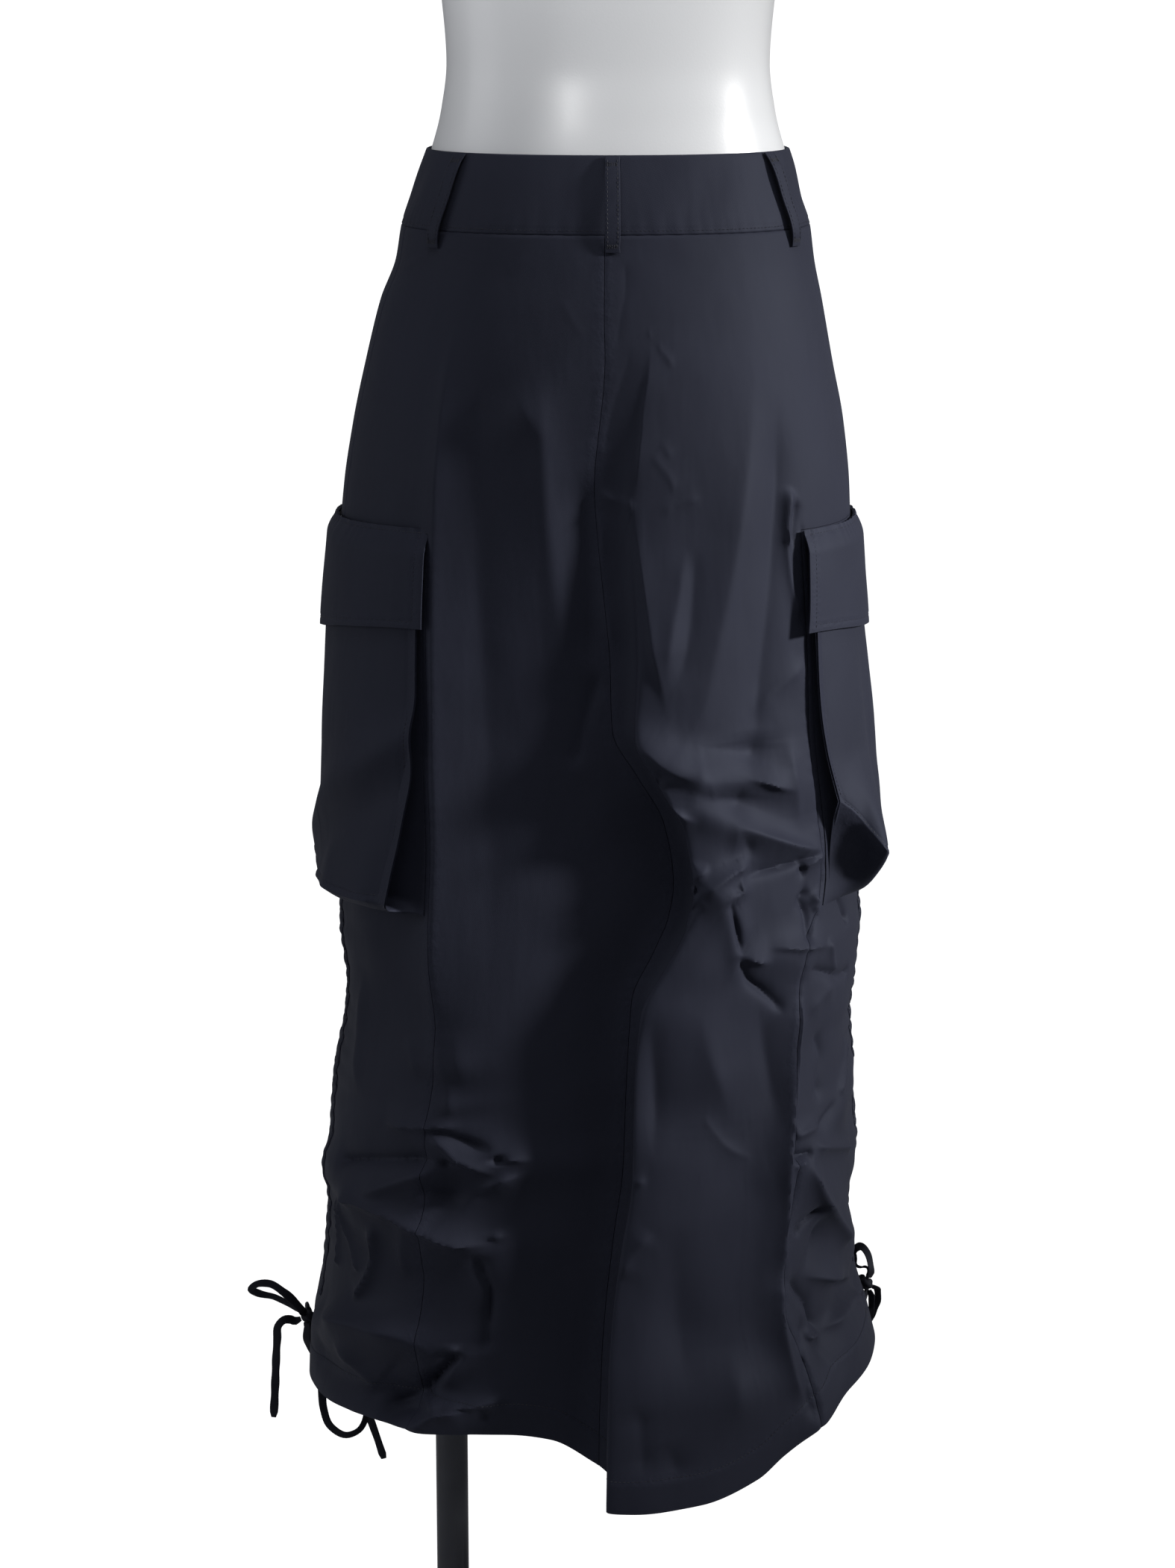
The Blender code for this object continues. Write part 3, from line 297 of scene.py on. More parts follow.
# %% Creases of the upper back: height, width above, width below, then points (thousandths of a turn, drop)
BACK_TOP_CREASES = (
    (0.6, 3, 1.6, (27, 111), (30, 118)),
    (0.7, 3, 1.6, (33, 121), (39, 129), (45, 137)),
    (1.7, 13, 2.4, (30, 120), (28, 133), (26, 146), (22, 163), (21, 178), (19, 193), (18, 210), (17, 223)),
    (-0.8, 10, 4, (16, 121), (11, 136), (6, 148), (1, 160), (-4, 174), (-7, 190), (-12, 200)),
    (-0.4, 3, 3, (12, 67), (13, 88), (9, 101), (5, 124)),
    (2.2, 3, 8, (-18, 217), (-13, 219), (-3, 224), (14, 227), (17, 232)),
    (4.6, 24, 13, (-66, 143), (-58, 160), (-46, 177), (-37, 191)),
    (2.9, 3, 3, (124, 220), (121, 234), (118, 261)),
    (-2.6, 3, 3, (129, 229), (124, 245), (122, 261)),
    (0.5, 3, 2, (-194, 80), (-174, 75), (-160, 70), (-143, 64), (-125, 61)),
    (0.4, 3, 3, (-33, 92), (-25, 105), (-16, 118)),
    (0.3, 3, 3, (-76, 77), (-66, 69), (-56, 66)),
    (0.7, 4, 2, (26, 193), (35, 203), (41, 214), (39, 221)),
    (0.6, 3, 2, (33, 184), (41, 197)),
    (0.7, 4, 2, (35, 236), (37, 229), (46, 225), (59, 224)),
    (4.2, 20, 3, (17, 237), (19, 259), (22, 279), (25, 304), (27, 324), (33, 349), (37, 374)),
    (3.4, 10, 3, (-18, 220), (-14, 233), (-12, 247), (-14, 261), (-14, 290), (-12, 314), (-12, 333)),
    (-2.6, 3, 5, (-19, 340), (-23, 356), (-28, 373), (-33, 394), (-35, 411)),
    (3.0, 10, 8, (47, 254), (44, 280), (41, 298), (37, 321), (35, 348)),
    (-2.6, 8, 9, (53, 255), (51, 285), (49, 312), (45, 332), (40, 352)),
    (2.3, 9, 5, (131, 333), (126, 343), (113, 350), (98, 362), (89, 376)),
    (2.3, 3, 3, (121, 219), (118, 242), (118, 265), (121, 291), (126, 312)),
    (9.0, 16, 8, (-106, 100), (-107, 150), (-104, 210), (-103, 300), (-104, 420), (-106, 520), (-109, 650)),
    (-4.4, 22, 18, (-86, 90), (-80, 200), (-78, 300), (-77, 420), (-80, 540), (-82, 600)),
    (4.8, 13, 16, (-44, 130), (-43, 186), (-41, 240), (-38, 300), (-34, 350)),
    (-3.6, 10, 8, (-22, 205), (-19, 260), (-21, 307), (-24, 342)),
    (7.0, 17, 26, (103, 120), (96, 170), (86, 220), (77, 270), (64, 330), (52, 390), (47, 440)),
    (-4.6, 12, 14, (118, 150), (112, 220), (103, 290), (94, 350), (88, 410)),
    (2.3, 16, 5, (-110, 585), (-107, 603), (-100, 630), (-95, 649)),
    (1.9, 8, 4, (-126, 598), (-121, 615), (-115, 632)),
    (3.6, 14, 8, (-96, 588), (-95, 610), (-91, 638)),
)
print(len(BACK_TOP_CREASES), "creases")

# %% Creases of the right knee
RIGHT_KNEE_CREASES = (
    (5.3, 14, 2.6, (13, 385), (24, 391), (32, 400), (39, 405), (46, 408), (54, 410)),
    (-2.5, 4, 4, (36, 402), (33, 408), (28, 416)),
    (5.3, 3, 12, (24, 422), (33, 427), (41, 432), (48, 437), (55, 441)),
    (3.6, 14, 12, (54, 378), (54, 394), (54, 411), (51, 422), (52, 439)),
    (-3.6, 14, 14, (89, 381), (89, 398), (83, 413)),
    (3.7, 10, 2.2, (80, 413), (95, 417), (106, 423), (120, 427)),
    (-3.6, 14, 12, (80, 414), (78, 428), (73, 441)),
    (2.6, 8, 10, (115, 384), (115, 405), (118, 425), (122, 445), (122, 459)),
    (4.9, 4, 9, (71, 442), (75, 444), (88, 450), (103, 457), (119, 465), (148, 475)),
    (-4.4, 8, 2.4, (78, 481), (89, 480), (104, 479), (120, 477), (148, 475)),
    (-3.2, 10, 8, (76, 446), (82, 456), (87, 466), (86, 472)),
    (4.4, 4, 5, (55, 490), (62, 484), (69, 478), (77, 474), (87, 473)),
    (2.5, 6, 1.8, (46, 480), (53, 477), (58, 474), (61, 467)),
    (1.7, 3, 3, (36, 470), (42, 478), (46, 486), (47, 494)),
    (-3.4, 3, 3, (47, 484), (52, 486), (56, 489)),
    (-3.7, 3, 4, (56, 494), (53, 499), (46, 507), (40, 514)),
    (3.4, 4, 2.5, (79, 478), (78, 486), (81, 490), (74, 491), (71, 494)),
    (-4.7, 3.2, 2.4, (71, 493), (73, 504), (76, 517), (79, 535)),
    (3.1, 6, 2.2, (77, 534), (82, 538), (91, 542), (99, 543)),
    (-4.0, 4, 2.6, (76, 534), (79, 544), (84, 555), (95, 564), (110, 581)),
    (-3.4, 3, 3, (120, 500), (128, 511), (128, 523), (125, 535)),
    (2.8, 3, 3, (133, 502), (140, 510), (134, 515)),
    (-3.1, 4, 3, (122, 499), (127, 502), (133, 500)),
    (2.5, 7, 1.6, (94, 532), (108, 534), (115, 536), (134, 539), (149, 542)),
    (-2.8, 3, 3, (125, 553), (146, 561), (159, 567), (173, 569), (185, 569)),
    (2.5, 3, 4, (147, 535), (151, 551), (157, 566)),
    (2.3, 8, 8, (160, 568), (139, 579), (126, 587)),
    (-2.8, 3, 3, (164, 509), (175, 524), (181, 535)),
    (-2.5, 2.5, 2.5, (128, 481), (123, 484), (128, 489)),
    (2.8, 3, 3, (123, 481), (136, 478), (148, 476)),
    (2.8, 6, 8, (150, 475), (167, 476), (203, 481)),
)
print(len(RIGHT_KNEE_CREASES), "creases")

# %% Creases of the right back panel
RIGHT_PANEL_CREASES = (
    (5.7, 22, 16, (49, 554), (55, 580), (65, 614), (74, 644), (80, 668)),
    (-3.8, 12, 14, (88, 560), (95, 590), (101, 616), (105, 643), (107, 674)),
    (1.3, 4, 7, (56, 644), (65, 660), (73, 672), (84, 680), (91, 682)),
    (2.0, 4, 3, (10, 690), (18, 689), (26, 690)),
    (-7.3, 28, 10, (27, 566), (29, 593), (31, 625), (31, 657), (28, 682)),
    (-2.6, 9, 9, (31, 878), (36, 896), (40, 911)),
    (-2.6, 8, 8, (16, 849), (19, 860), (20, 876), (21, 909)),
    (2.1, 6, 6, (8, 760), (15, 745), (21, 733), (29, 725)),
    (-6.8, 26, 24, (37, 717), (41, 756), (45, 809), (47, 862)),
    (4.2, 16, 16, (74, 814), (73, 849), (74, 885)),
)
print(len(RIGHT_PANEL_CREASES), "creases")

# %% Creases of the right calf
RIGHT_CALF_CREASES = (
    (-4.0, 12, 3, (168, 657), (155, 664), (142, 670), (130, 680)),
    (3.1, 5, 3, (129, 680), (159, 692), (192, 703)),
    (-2.5, 5, 4, (138, 601), (147, 613), (150, 623), (144, 638), (144, 656)),
    (2.8, 5, 2.6, (112, 672), (120, 668), (140, 669)),
    (-4.4, 2.8, 2.8, (110, 686), (117, 683), (128, 685)),
    (2.8, 3, 3, (109, 690), (117, 689), (123, 687)),
    (4.9, 6, 4, (122, 688), (127, 700), (133, 717), (142, 729), (167, 753), (188, 776)),
    (-4.7, 2.6, 2.6, (140, 727), (132, 734), (122, 739), (117, 744)),
    (-4.0, 13, 3, (140, 731), (142, 744), (139, 757), (130, 778)),
    (6.2, 16, 3, (126, 777), (139, 782), (167, 793), (233, 819)),
    (
        4.4, 3, 7, (121, 559), (120, 591), (119, 623), (115, 654), (110, 676), (107, 700),
        (109, 734), (110, 780),
    ),
    (2.5, 3, 3, (198, 622), (190, 641), (175, 651), (168, 657)),
    (4.0, 4, 7, (110, 765), (109, 785), (109, 803), (108, 836), (109, 852), (112, 868)),
    (-4.0, 5, 3, (112, 775), (119, 779), (125, 789), (136, 801), (138, 814), (143, 827)),
    (4.9, 4, 9, (143, 827), (165, 822), (201, 822), (240, 834)),
    (3.7, 4, 3, (125, 822), (135, 826), (143, 827)),
    (-3.6, 14, 14, (125, 823), (137, 840), (144, 854), (149, 865)),
    (-2.8, 6, 5, (128, 803), (121, 825), (115, 850), (115, 867), (120, 885)),
)
print(len(RIGHT_CALF_CREASES), "creases")

# %% Creases of the left calf
LEFT_CALF_CREASES = (
    (2.4, 7, 1.8, (-134, 666), (-123, 665), (-109, 662), (-97, 660), (-89, 659)),
    (-4.2, 3.2, 6, (-109, 663), (-102, 664), (-91, 668), (-81, 674), (-74, 677)),
    (-3.3, 2.4, 2.4, (-74, 677), (-73, 681), (-74, 686)),
    (4.2, 5, 3.2, (-106, 665), (-97, 673), (-92, 681), (-83, 686), (-74, 694)),
    (2.1, 5, 2, (-74, 680), (-66, 681), (-56, 683)),
    (4.2, 3, 7, (-83, 708), (-76, 700), (-68, 694), (-59, 692)),
    (-4.2, 5, 4, (-182, 710), (-148, 698), (-117, 688), (-99, 684)),
    (-2.6, 2.4, 2.4, (-96, 681), (-97, 686), (-98, 690)),
    (4.5, 5, 9, (-148, 722), (-134, 713), (-119, 703), (-108, 695), (-95, 687)),
    (-4.9, 12, 12, (-111, 708), (-97, 712), (-86, 719)),
    (
        5.1, 7, 3.6, (-173, 733), (-148, 726), (-134, 727), (-122, 729), (-114, 733),
        (-102, 737), (-92, 742), (-85, 743), (-74, 742),
    ),
    (2.1, 3, 2, (-74, 742), (-73, 737), (-74, 732)),
    (-3.9, 3, 3.4, (-83, 749), (-81, 758), (-80, 767), (-77, 778), (-78, 796), (-79, 811), (-78, 827)),
    (3.9, 14, 5, (-118, 729), (-115, 739), (-118, 754), (-116, 780)),
    (4.2, 4, 5, (-136, 738), (-137, 753), (-138, 770), (-143, 789), (-150, 803)),
    (2.1, 2.4, 2.4, (-178, 736), (-186, 751), (-182, 765), (-178, 790)),
    (2.1, 2.4, 2.4, (-174, 734), (-173, 750), (-160, 765), (-149, 783)),
    (8.2, 9, 16, (-193, 825), (-170, 819), (-145, 813), (-129, 813), (-115, 814), (-105, 820), (-97, 833)),
    (4.2, 8, 10, (-159, 834), (-145, 847), (-134, 858), (-127, 868)),
    (-5.9, 3, 3, (-89, 823), (-92, 831), (-96, 839), (-104, 855), (-102, 864)),
    (-4.2, 4, 6, (-104, 856), (-108, 863), (-116, 871), (-126, 874)),
    (3.5, 3, 4, (-105, 864), (-95, 865), (-85, 863), (-78, 861), (-67, 856)),
    (-3.5, 2.4, 4, (-98, 866), (-87, 865), (-79, 864)),
    (-5.1, 8, 3, (-127, 883), (-117, 878), (-106, 872), (-98, 868)),
    (5.4, 3, 6, (-110, 884), (-103, 878), (-98, 872), (-93, 867), (-78, 864)),
    (-2.1, 2.4, 2.4, (-77, 863), (-75, 877)),
    (2.4, 2.4, 2.4, (-91, 817), (-91, 822), (-88, 823)),
    (3.2, 8, 8, (-81, 818), (-87, 831), (-97, 851), (-99, 860)),
    (2.6, 10, 8, (-98, 628), (-97, 645), (-94, 658)),
    (3.6, 12, 14, (-165, 560), (-170, 620), (-160, 660)),
)
print(len(LEFT_CALF_CREASES), "creases")

# %% Creases of the front
FRONT_CREASES = (
    (2.2, 9, 5, (470, 84), (440, 100), (405, 112)),
    (1.8, 8, 6, (-455, 84), (-430, 98), (-400, 108)),
    (1.8, 12, 9, (505, 226), (494, 280), (486, 350)),
    (3.2, 9, 4, (296, 520), (340, 506), (390, 482)),
    (-2.6, 5, 5, (300, 540), (350, 520), (430, 492)),
    (3.0, 5, 8, (360, 560), (400, 566), (440, 556)),
    (3.2, 4, 8, (292, 684), (340, 674), (404, 650)),
    (-2.8, 5, 4, (300, 716), (350, 704), (420, 690)),
    (2.8, 8, 4, (330, 740), (370, 726), (430, 730)),
    (3.4, 10, 4, (288, 800), (340, 786), (396, 790), (440, 806)),
    (-2.8, 4, 6, (296, 834), (340, 826), (392, 830)),
    (2.4, 6, 6, (420, 820), (440, 846), (452, 872)),
    (3.0, 9, 4, (-282, 540), (-330, 528), (-376, 500)),
    (-2.6, 5, 5, (-292, 580), (-345, 566), (-410, 540)),
    (2.6, 5, 8, (-330, 606), (-372, 596), (-420, 600)),
    (3.2, 4, 8, (-272, 712), (-330, 696), (-392, 676)),
    (-2.8, 5, 4, (-280, 748), (-340, 734), (-404, 716)),
    (2.8, 8, 4, (-310, 768), (-356, 756), (-410, 760)),
    (3.4, 10, 4, (-268, 828), (-320, 814), (-380, 812), (-420, 826)),
    (-2.8, 4, 6, (-276, 866), (-322, 854), (-372, 852)),
    (1.6, 14, 16, (-360, 140), (-372, 240), (-380, 380)),
    (1.6, 14, 16, (372, 150), (384, 240), (392, 370)),
)
print(len(FRONT_CREASES), "creases")

# %% All the creases, each part with its own strength
STRENGTHS = (
    (1.0, BACK_TOP_CREASES), (1.3, RIGHT_KNEE_CREASES), (1.15, RIGHT_PANEL_CREASES),
    (1.35, RIGHT_CALF_CREASES), (1.65, LEFT_CALF_CREASES), (1.3, FRONT_CREASES),
)
CREASES = [
    (height * strength, above, below, np.array(path) * (PATH_TURN, 1))
    for strength, rows in STRENGTHS
    for height, above, below, *path in rows
]
print(len(CREASES), "creases in all")

# %% [markdown]
# ## From a path to a height
# For each path only the points near it are worked out.  The nearest point of the path gives the
# distance, the side and the share of the path gone by, so a crease can fade out at both ends.


# %% Distance from a path
def eased(points):
    """The path with its corners cut twice, at a quarter and three quarters of every stretch."""
    for _ in range(2):
        first = points[:-1] * 0.75 + points[1:] * 0.25
        second = points[:-1] * 0.25 + points[1:] * 0.75
        middle = np.stack([first, second], axis=1).reshape(-1, 2)
        points = np.concatenate([points[:1], middle[1:-1], points[-1:]])
    return points


def near_path(across, drop, corners, reach):
    """Which points lie within reach of a path, and for them the distance, the side and the share."""
    corners = corners * (GIRTH, 1)
    low, high = corners.min(axis=0) - reach, corners.max(axis=0) + reach
    middle = (low[0] + high[0]) / 2
    x = (across * GIRTH - middle + GIRTH / 2) % GIRTH - GIRTH / 2 + middle
    close = (x > low[0]) & (x < high[0]) & (drop > low[1]) & (drop < high[1])
    x, y = x[close], drop[close]
    steps = np.diff(corners, axis=0)
    lengths = np.hypot(*steps.T)
    gone = distances(corners)
    best, side, share = np.full(x.shape, np.inf), np.zeros(x.shape), np.zeros(x.shape)
    for (cx, cy), (run, fall), length, before in zip(corners, steps, lengths, gone):
        s = np.clip(((x - cx) * run + (y - cy) * fall) / length**2, 0, 1)
        distance = np.hypot(x - cx - s * run, y - cy - s * fall)
        closer = distance < best
        best = np.where(closer, distance, best)
        side = np.where(closer, run * (y - cy) - fall * (x - cx), side)
        share = np.where(closer, (before + s * length) / gone[-1], share)
    return close, best, side, share, gone / gone[-1]


# %% Heights of the folds and creases
CREASE_TIP = 0.22  # roundness of a crease's edge, as a share of its narrower side


def fold_height(column, drop):
    """Sum over the folds of height times exp(-(distance / half width)^2)."""
    total = np.zeros(column.shape)
    for half_width, path in FOLDS.values():
        corners = np.array(path) * (PATH_TURN, 1, 1)
        close, distance, _, share, marks = near_path(column, drop, corners[:, :2], 3 * half_width)
        total[close] += np.interp(share, marks, corners[:, 2]) * hill(distance, half_width)
    return total


def crease_height(turn, drop):
    """Sum over the creases of height times exp(-(hypot(distance, tip) - tip) / width of that side)."""
    total = np.zeros(turn.shape)
    for height, above, below, path in CREASES:
        corners = eased(path)
        close, distance, side, share, _ = near_path(turn, drop, corners, 4 * max(above, below))
        length = distances(corners * (GIRTH, 1))[-1]
        ease = min(0.48, 0.05 + max(above, below) * (1.3 / length + 0.009))
        fade = smooth_step(share, 0, ease) * smooth_step(share, 1, 1 - ease)
        uneven = 1 + 0.15 * np.sin(9 * share + 40 * path[0, 0])
        tip = CREASE_TIP * min(above, below)
        sharp = np.hypot(distance, tip) - tip
        total[close] += height * fade * uneven * np.exp(-sharp / np.where(side > 0, below, above))
    return total


knee = crease_height(np.linspace(0, 0.12, 200), np.full(200, 450.0))
print("creases across the right knee, in mm:", knee.min().round(1), "to", knee.max().round(1))

# %% [markdown]
# ## Small unevenness, gathers and seams
# Cloth that has been washed is never quite smooth.  A sum of waves of many lengths, each running
# its own way, makes it uneven; the number of waves round the skirt is whole, so the sum closes.
# The drawstring casings gather the cloth beside them into ripples that die out across the side
# panels.  At a seam the cloth rolls into a groove and puckers a little with the thread's pull.

# %% Waves, ripples and grooves
WAVES = 34
rng = np.random.default_rng(41)
wave_length = rng.uniform(22, 95, WAVES)
wave_angle = rng.uniform(-1.1, 1.1, WAVES)  # from level, so that most run down the cloth
wave_round = np.round(np.cos(wave_angle) * GIRTH / wave_length)
wave_down = np.sin(wave_angle) / wave_length
wave_phase = rng.uniform(0, 2 * math.pi, WAVES)
wave_size = 0.035 * (wave_length / 30) ** 0.9


def unevenness(turn, drop):
    """Sum of waves sin(2 pi (whole number x turn + drop / length) + phase), stronger lower down."""
    total = np.zeros(turn.shape)
    for around, down, phase, size in zip(wave_round, wave_down, wave_phase, wave_size):
        total += size * np.sin(2 * math.pi * (around * turn + down * drop) + phase)
    calm = 0.35 + 0.65 * smooth_step(drop, 240, 460)
    return total * calm


def turns_from(middle, column):
    """Turns from a middle to a column, the short way round."""
    return (column - middle + 0.5) % 1 - 0.5


def gather_phase(middle, top, drop):
    """Angle of a casing's gathers: a whole turn each pitch, wandering a little."""
    return 2 * math.pi * (drop - top) / GATHER_PITCH + 0.9 * np.sin(0.11 * drop + 40 * middle)


def ripples(column, drop):
    """Gathers beside each casing: cosines down its length that die out and widen with distance."""
    total = np.zeros(column.shape)
    for middle, top, bottom in CASINGS.values():
        away = np.abs(turns_from(middle, column)) * TURN_LENGTH
        phase = gather_phase(middle, top, drop)
        low = HEM_RUN + (bottom - HEM_RUN) / (LOWEST - HEM_RUN) * (hem_drop(middle) - HEM_RUN)
        inside = smooth_step(drop, top - 14, top + 16) * smooth_step(drop, low + 16, low - 10)
        beside = np.clip(away - 12, 0, None)
        near = 0.5 * np.exp(-beside / 7) * np.cos(phase)
        wide = 1.2 * np.exp(-beside / 22) * np.cos(phase / 2 + 3 * np.sin(0.05 * drop) + beside * 0.05)
        total += inside * (near + wide * smooth_step(away, 6, 26))
    return total


def grooves(column, drop):
    """A narrow groove along each seam, with a pucker across it that rises and falls along it."""
    total = np.zeros(column.shape)
    for middle, top, bottom, depth in SEAMS.values():
        away = turns_from(middle, column) * GIRTH
        here = smooth_step(drop, top - 6, top + 2) * smooth_step(drop, bottom + 4, bottom - 2)
        pucker = np.sin(drop / 1.9 + 2 * np.sin(drop / 23)) * np.sin(drop / 13 + 9 * middle)
        total += here * (0.16 * pucker * hill(away, 6) - depth * hill(away, 1.7))
    return total


print(WAVES, "waves,", len(CASINGS), "gathered sides,", len(SEAMS), "seams")


# %% The outline
def hem_drop(column):
    """Drop of the hem's edge: a curve through the hem's table."""
    return through(HEM["column"], HEM["drop"], column)


def ring(turn, drop, sizes):
    """(x, y) on a rounded outline: an ellipse whose corners are a little square."""
    angle = 2 * math.pi * turn
    sine, cosine = np.sin(angle), np.cos(angle)
    ways = ("left", "right", "back", "front")
    left, right, back, front = (through(sizes["drop"], sizes[way], drop) for way in ways)
    half_x = np.where(sine > 0, right, left)
    half_y = np.where(cosine > 0, back, front)
    square = 1 + (0.03 + 0.04 * np.clip(drop / 500, 0, 1)) * np.sin(2 * angle) ** 2
    return half_x * sine * square, -half_y * cosine * square


right_side, _ = ring(0.25, np.array([0.0, 500.0]), SECTIONS)
print("right side at the waist and halfway down, from the middle:", right_side.round(1))

# %% The fold's section, rounded
FOLD_ALONG = np.arange(-210.0, 170.0)
FOLD_ROUNDING = 6.0  # millimetres
weights = hill(np.arange(-24, 25), FOLD_ROUNDING)
FOLD_SIDEWAYS, FOLD_OUTWARD = (
    np.convolve(through(CENTRE_FOLD["along"], CENTRE_FOLD[way], FOLD_ALONG), weights / weights.sum(), "same")
    for way in ("sideways", "outward")
)
print("the fold runs back under itself by", FOLD_SIDEWAYS.max().round(1), "mm")


# %% The surface
def cloth(column, drop, creased=1.0):
    """Outer face of the cloth: the outline, moved along it and out of it by the folds.

    Creased is how much of the small creases it carries: 1 on the panels, 0 under a pocket's face.
    """
    column, drop, creased = same_shape(column, drop, creased)
    fold_edge = through(WANDER["drop"], WANDER["fold_edge"], drop)
    seam_shift = through(WANDER["drop"], WANDER["right_seam"], drop)
    turn = column + bump(column, FOLD_REACH) * fold_edge
    turn = turn + bump(column - BACK_SEAM_RIGHT, SEAM_REACH) * seam_shift
    x, y = ring(turn, drop, SECTIONS)
    ahead_x, ahead_y = ring(turn + 1e-4, drop, SECTIONS)
    length = np.hypot(ahead_x - x, ahead_y - y)
    along_x, along_y = (ahead_x - x) / length, (ahead_y - y) / length
    strength = through(FOLD_STRENGTH["drop"], FOLD_STRENGTH["share"], drop)
    along = column * GIRTH
    sideways = strength * np.interp(along, FOLD_ALONG, FOLD_SIDEWAYS)
    outward = strength * np.interp(along, FOLD_ALONG, FOLD_OUTWARD)
    outward = outward + fold_height(column, drop)
    settled = smooth_step(drop, BAND_HEIGHT, BAND_HEIGHT + 22)
    outward = outward + settled * (creased * crease_height(turn, drop) + unevenness(turn, drop))
    outward = outward + creased * (ripples(column, drop) + grooves(column, drop))
    above_hem = hem_drop(column) - drop
    turned_up = smooth_step(above_hem, HEM_STITCHES + 2, HEM_STITCHES - 1)
    outward = outward + 0.5 * turned_up - 0.5 * hill(above_hem - HEM_STITCHES, 1.6)
    x = x + along_x * sideways + along_y * outward
    y = y + along_y * sideways - along_x * outward
    return np.stack([x, y, -drop], axis=-1)


def cloth_normals(column, drop, creased=1.0):
    """Unit vectors out of the cloth, from the differences of its points."""
    step = 1.2
    turn_step = step / GIRTH
    across = cloth(column + turn_step, drop, creased) - cloth(column - turn_step, drop, creased)
    down = cloth(column, drop + step, creased) - cloth(column, drop - step, creased)
    return unit(np.cross(down, across))


def on_cloth(column, drop, out, creased=1.0):
    """Points that lie out millimetres off the cloth."""
    column, drop, out, creased = same_shape(column, drop, out, creased)
    return cloth(column, drop, creased) + cloth_normals(column, drop, creased) * out[..., None]


def hung(column, row):
    """A grid row as the real drop there: below HEM_RUN the rows spread to follow the hem."""
    share = np.clip((row - HEM_RUN) / (LOWEST - HEM_RUN), 0, 1)
    return np.where(row > HEM_RUN, HEM_RUN + share * (hem_drop(column) - HEM_RUN), row)


sample = cloth(np.array([0.0, 0.25, 0.5, -0.25]), np.array(500.0))
print("halfway down, back, right, front and left:", np.round(sample[:, :2]).tolist())

# %% [markdown]
# ## Meshes from grids
# A mesh is a list of points and a list of faces.  Both come from numpy arrays here.  A cloth wall
# is a grid of outer points, the same grid a wall's thickness further in, and quads that close the
# rim between them.  The sign of the enclosed volume tells if the faces point outwards; if it is
# negative, every face is turned round.


# %% Mesh from arrays
def make_mesh(name, points, face_sets, uv=None, sewn=None):
    """One mesh object from points in millimetres below the waist and arrays of corner numbers."""
    points = (np.asarray(points, float).reshape(-1, 3) + (0, 0, WAIST_TOP)) * METRES
    face_sets = [np.asarray(faces, np.int64) for faces in face_sets if len(faces)]
    corners = [points[faces] for faces in face_sets]
    volume = sum(
        np.einsum("ij,ij->", c[:, 0], np.cross(c[:, k], c[:, k + 1]))
        for c in corners
        for k in range(1, c.shape[1] - 1)
    )
    if volume < 0:
        face_sets = [faces[:, ::-1] for faces in face_sets]
    loops = np.concatenate([faces.ravel() for faces in face_sets])
    sizes = np.concatenate([np.full(len(faces), faces.shape[1]) for faces in face_sets])
    mesh = bpy.data.meshes.new(name)
    mesh.vertices.add(len(points))
    mesh.vertices.foreach_set("co", points.ravel())
    mesh.loops.add(len(loops))
    mesh.loops.foreach_set("vertex_index", loops.astype(np.int32))
    mesh.polygons.add(len(sizes))
    mesh.polygons.foreach_set("loop_start", np.concatenate([[0], np.cumsum(sizes)[:-1]]).astype(np.int32))
    mesh.update(calc_edges=True)
    if uv is not None:
        layer = mesh.uv_layers.new(name="cloth")
        layer.data.foreach_set("uv", np.asarray(uv, float).reshape(-1, 2)[loops].ravel())
    if sewn is not None:
        mark = mesh.attributes.new("sewn", "FLOAT", "POINT")
        mark.data.foreach_set("value", np.asarray(sewn, float).ravel())
    mesh.shade_smooth()
    mesh.set_sharp_from_angle(angle=math.radians(55))
    made = bpy.data.objects.new(name, mesh)
    bpy.context.scene.collection.objects.link(made)
    return made


# %% Walls and tubes
INNER_STEP = 2  # outer cells along one side of an inner cell


def wall_faces(cells, every):
    """Faces of a closed wall over the marked cells: outer quads, inner quads and the rim.

    The inner side carries no fine creases, so one of its quads spans every x every cells, and
    each face of the rim joins the small outer steps to one long inner step.
    """
    rows, columns = cells.shape[0] + 1, cells.shape[1] + 1
    index = np.arange(rows * columns).reshape(rows, columns)
    back = rows * columns
    a, b, c, d = index[:-1, :-1], index[:-1, 1:], index[1:, 1:], index[1:, :-1]
    blocks = cells[::every, ::every]

    def corner(i, j):
        """The points at one corner of every block."""
        return index[i : i + blocks.shape[0] * every : every, j : j + blocks.shape[1] * every : every]

    steps = range(every + 1)
    edges = (
        [corner(0, k) for k in steps],
        [corner(k, every) for k in steps],
        [corner(every, every - k) for k in steps],
        [corner(every - k, 0) for k in steps],
    )
    inner = np.stack([edge[0] for edge in edges], -1)[blocks] + back
    padded = np.pad(blocks, 1)
    beyond = (padded[:-2, 1:-1], padded[1:-1, 2:], padded[2:, 1:-1], padded[1:-1, :-2])
    rims = []
    for edge, other in zip(edges, beyond):
        outer = np.stack(edge, -1)[blocks & ~other]
        rims.append(np.concatenate([outer, outer[:, [-1, 0]] + back], axis=1))
    return [np.stack([a, d, c, b], -1)[cells], inner, np.concatenate(rims)]


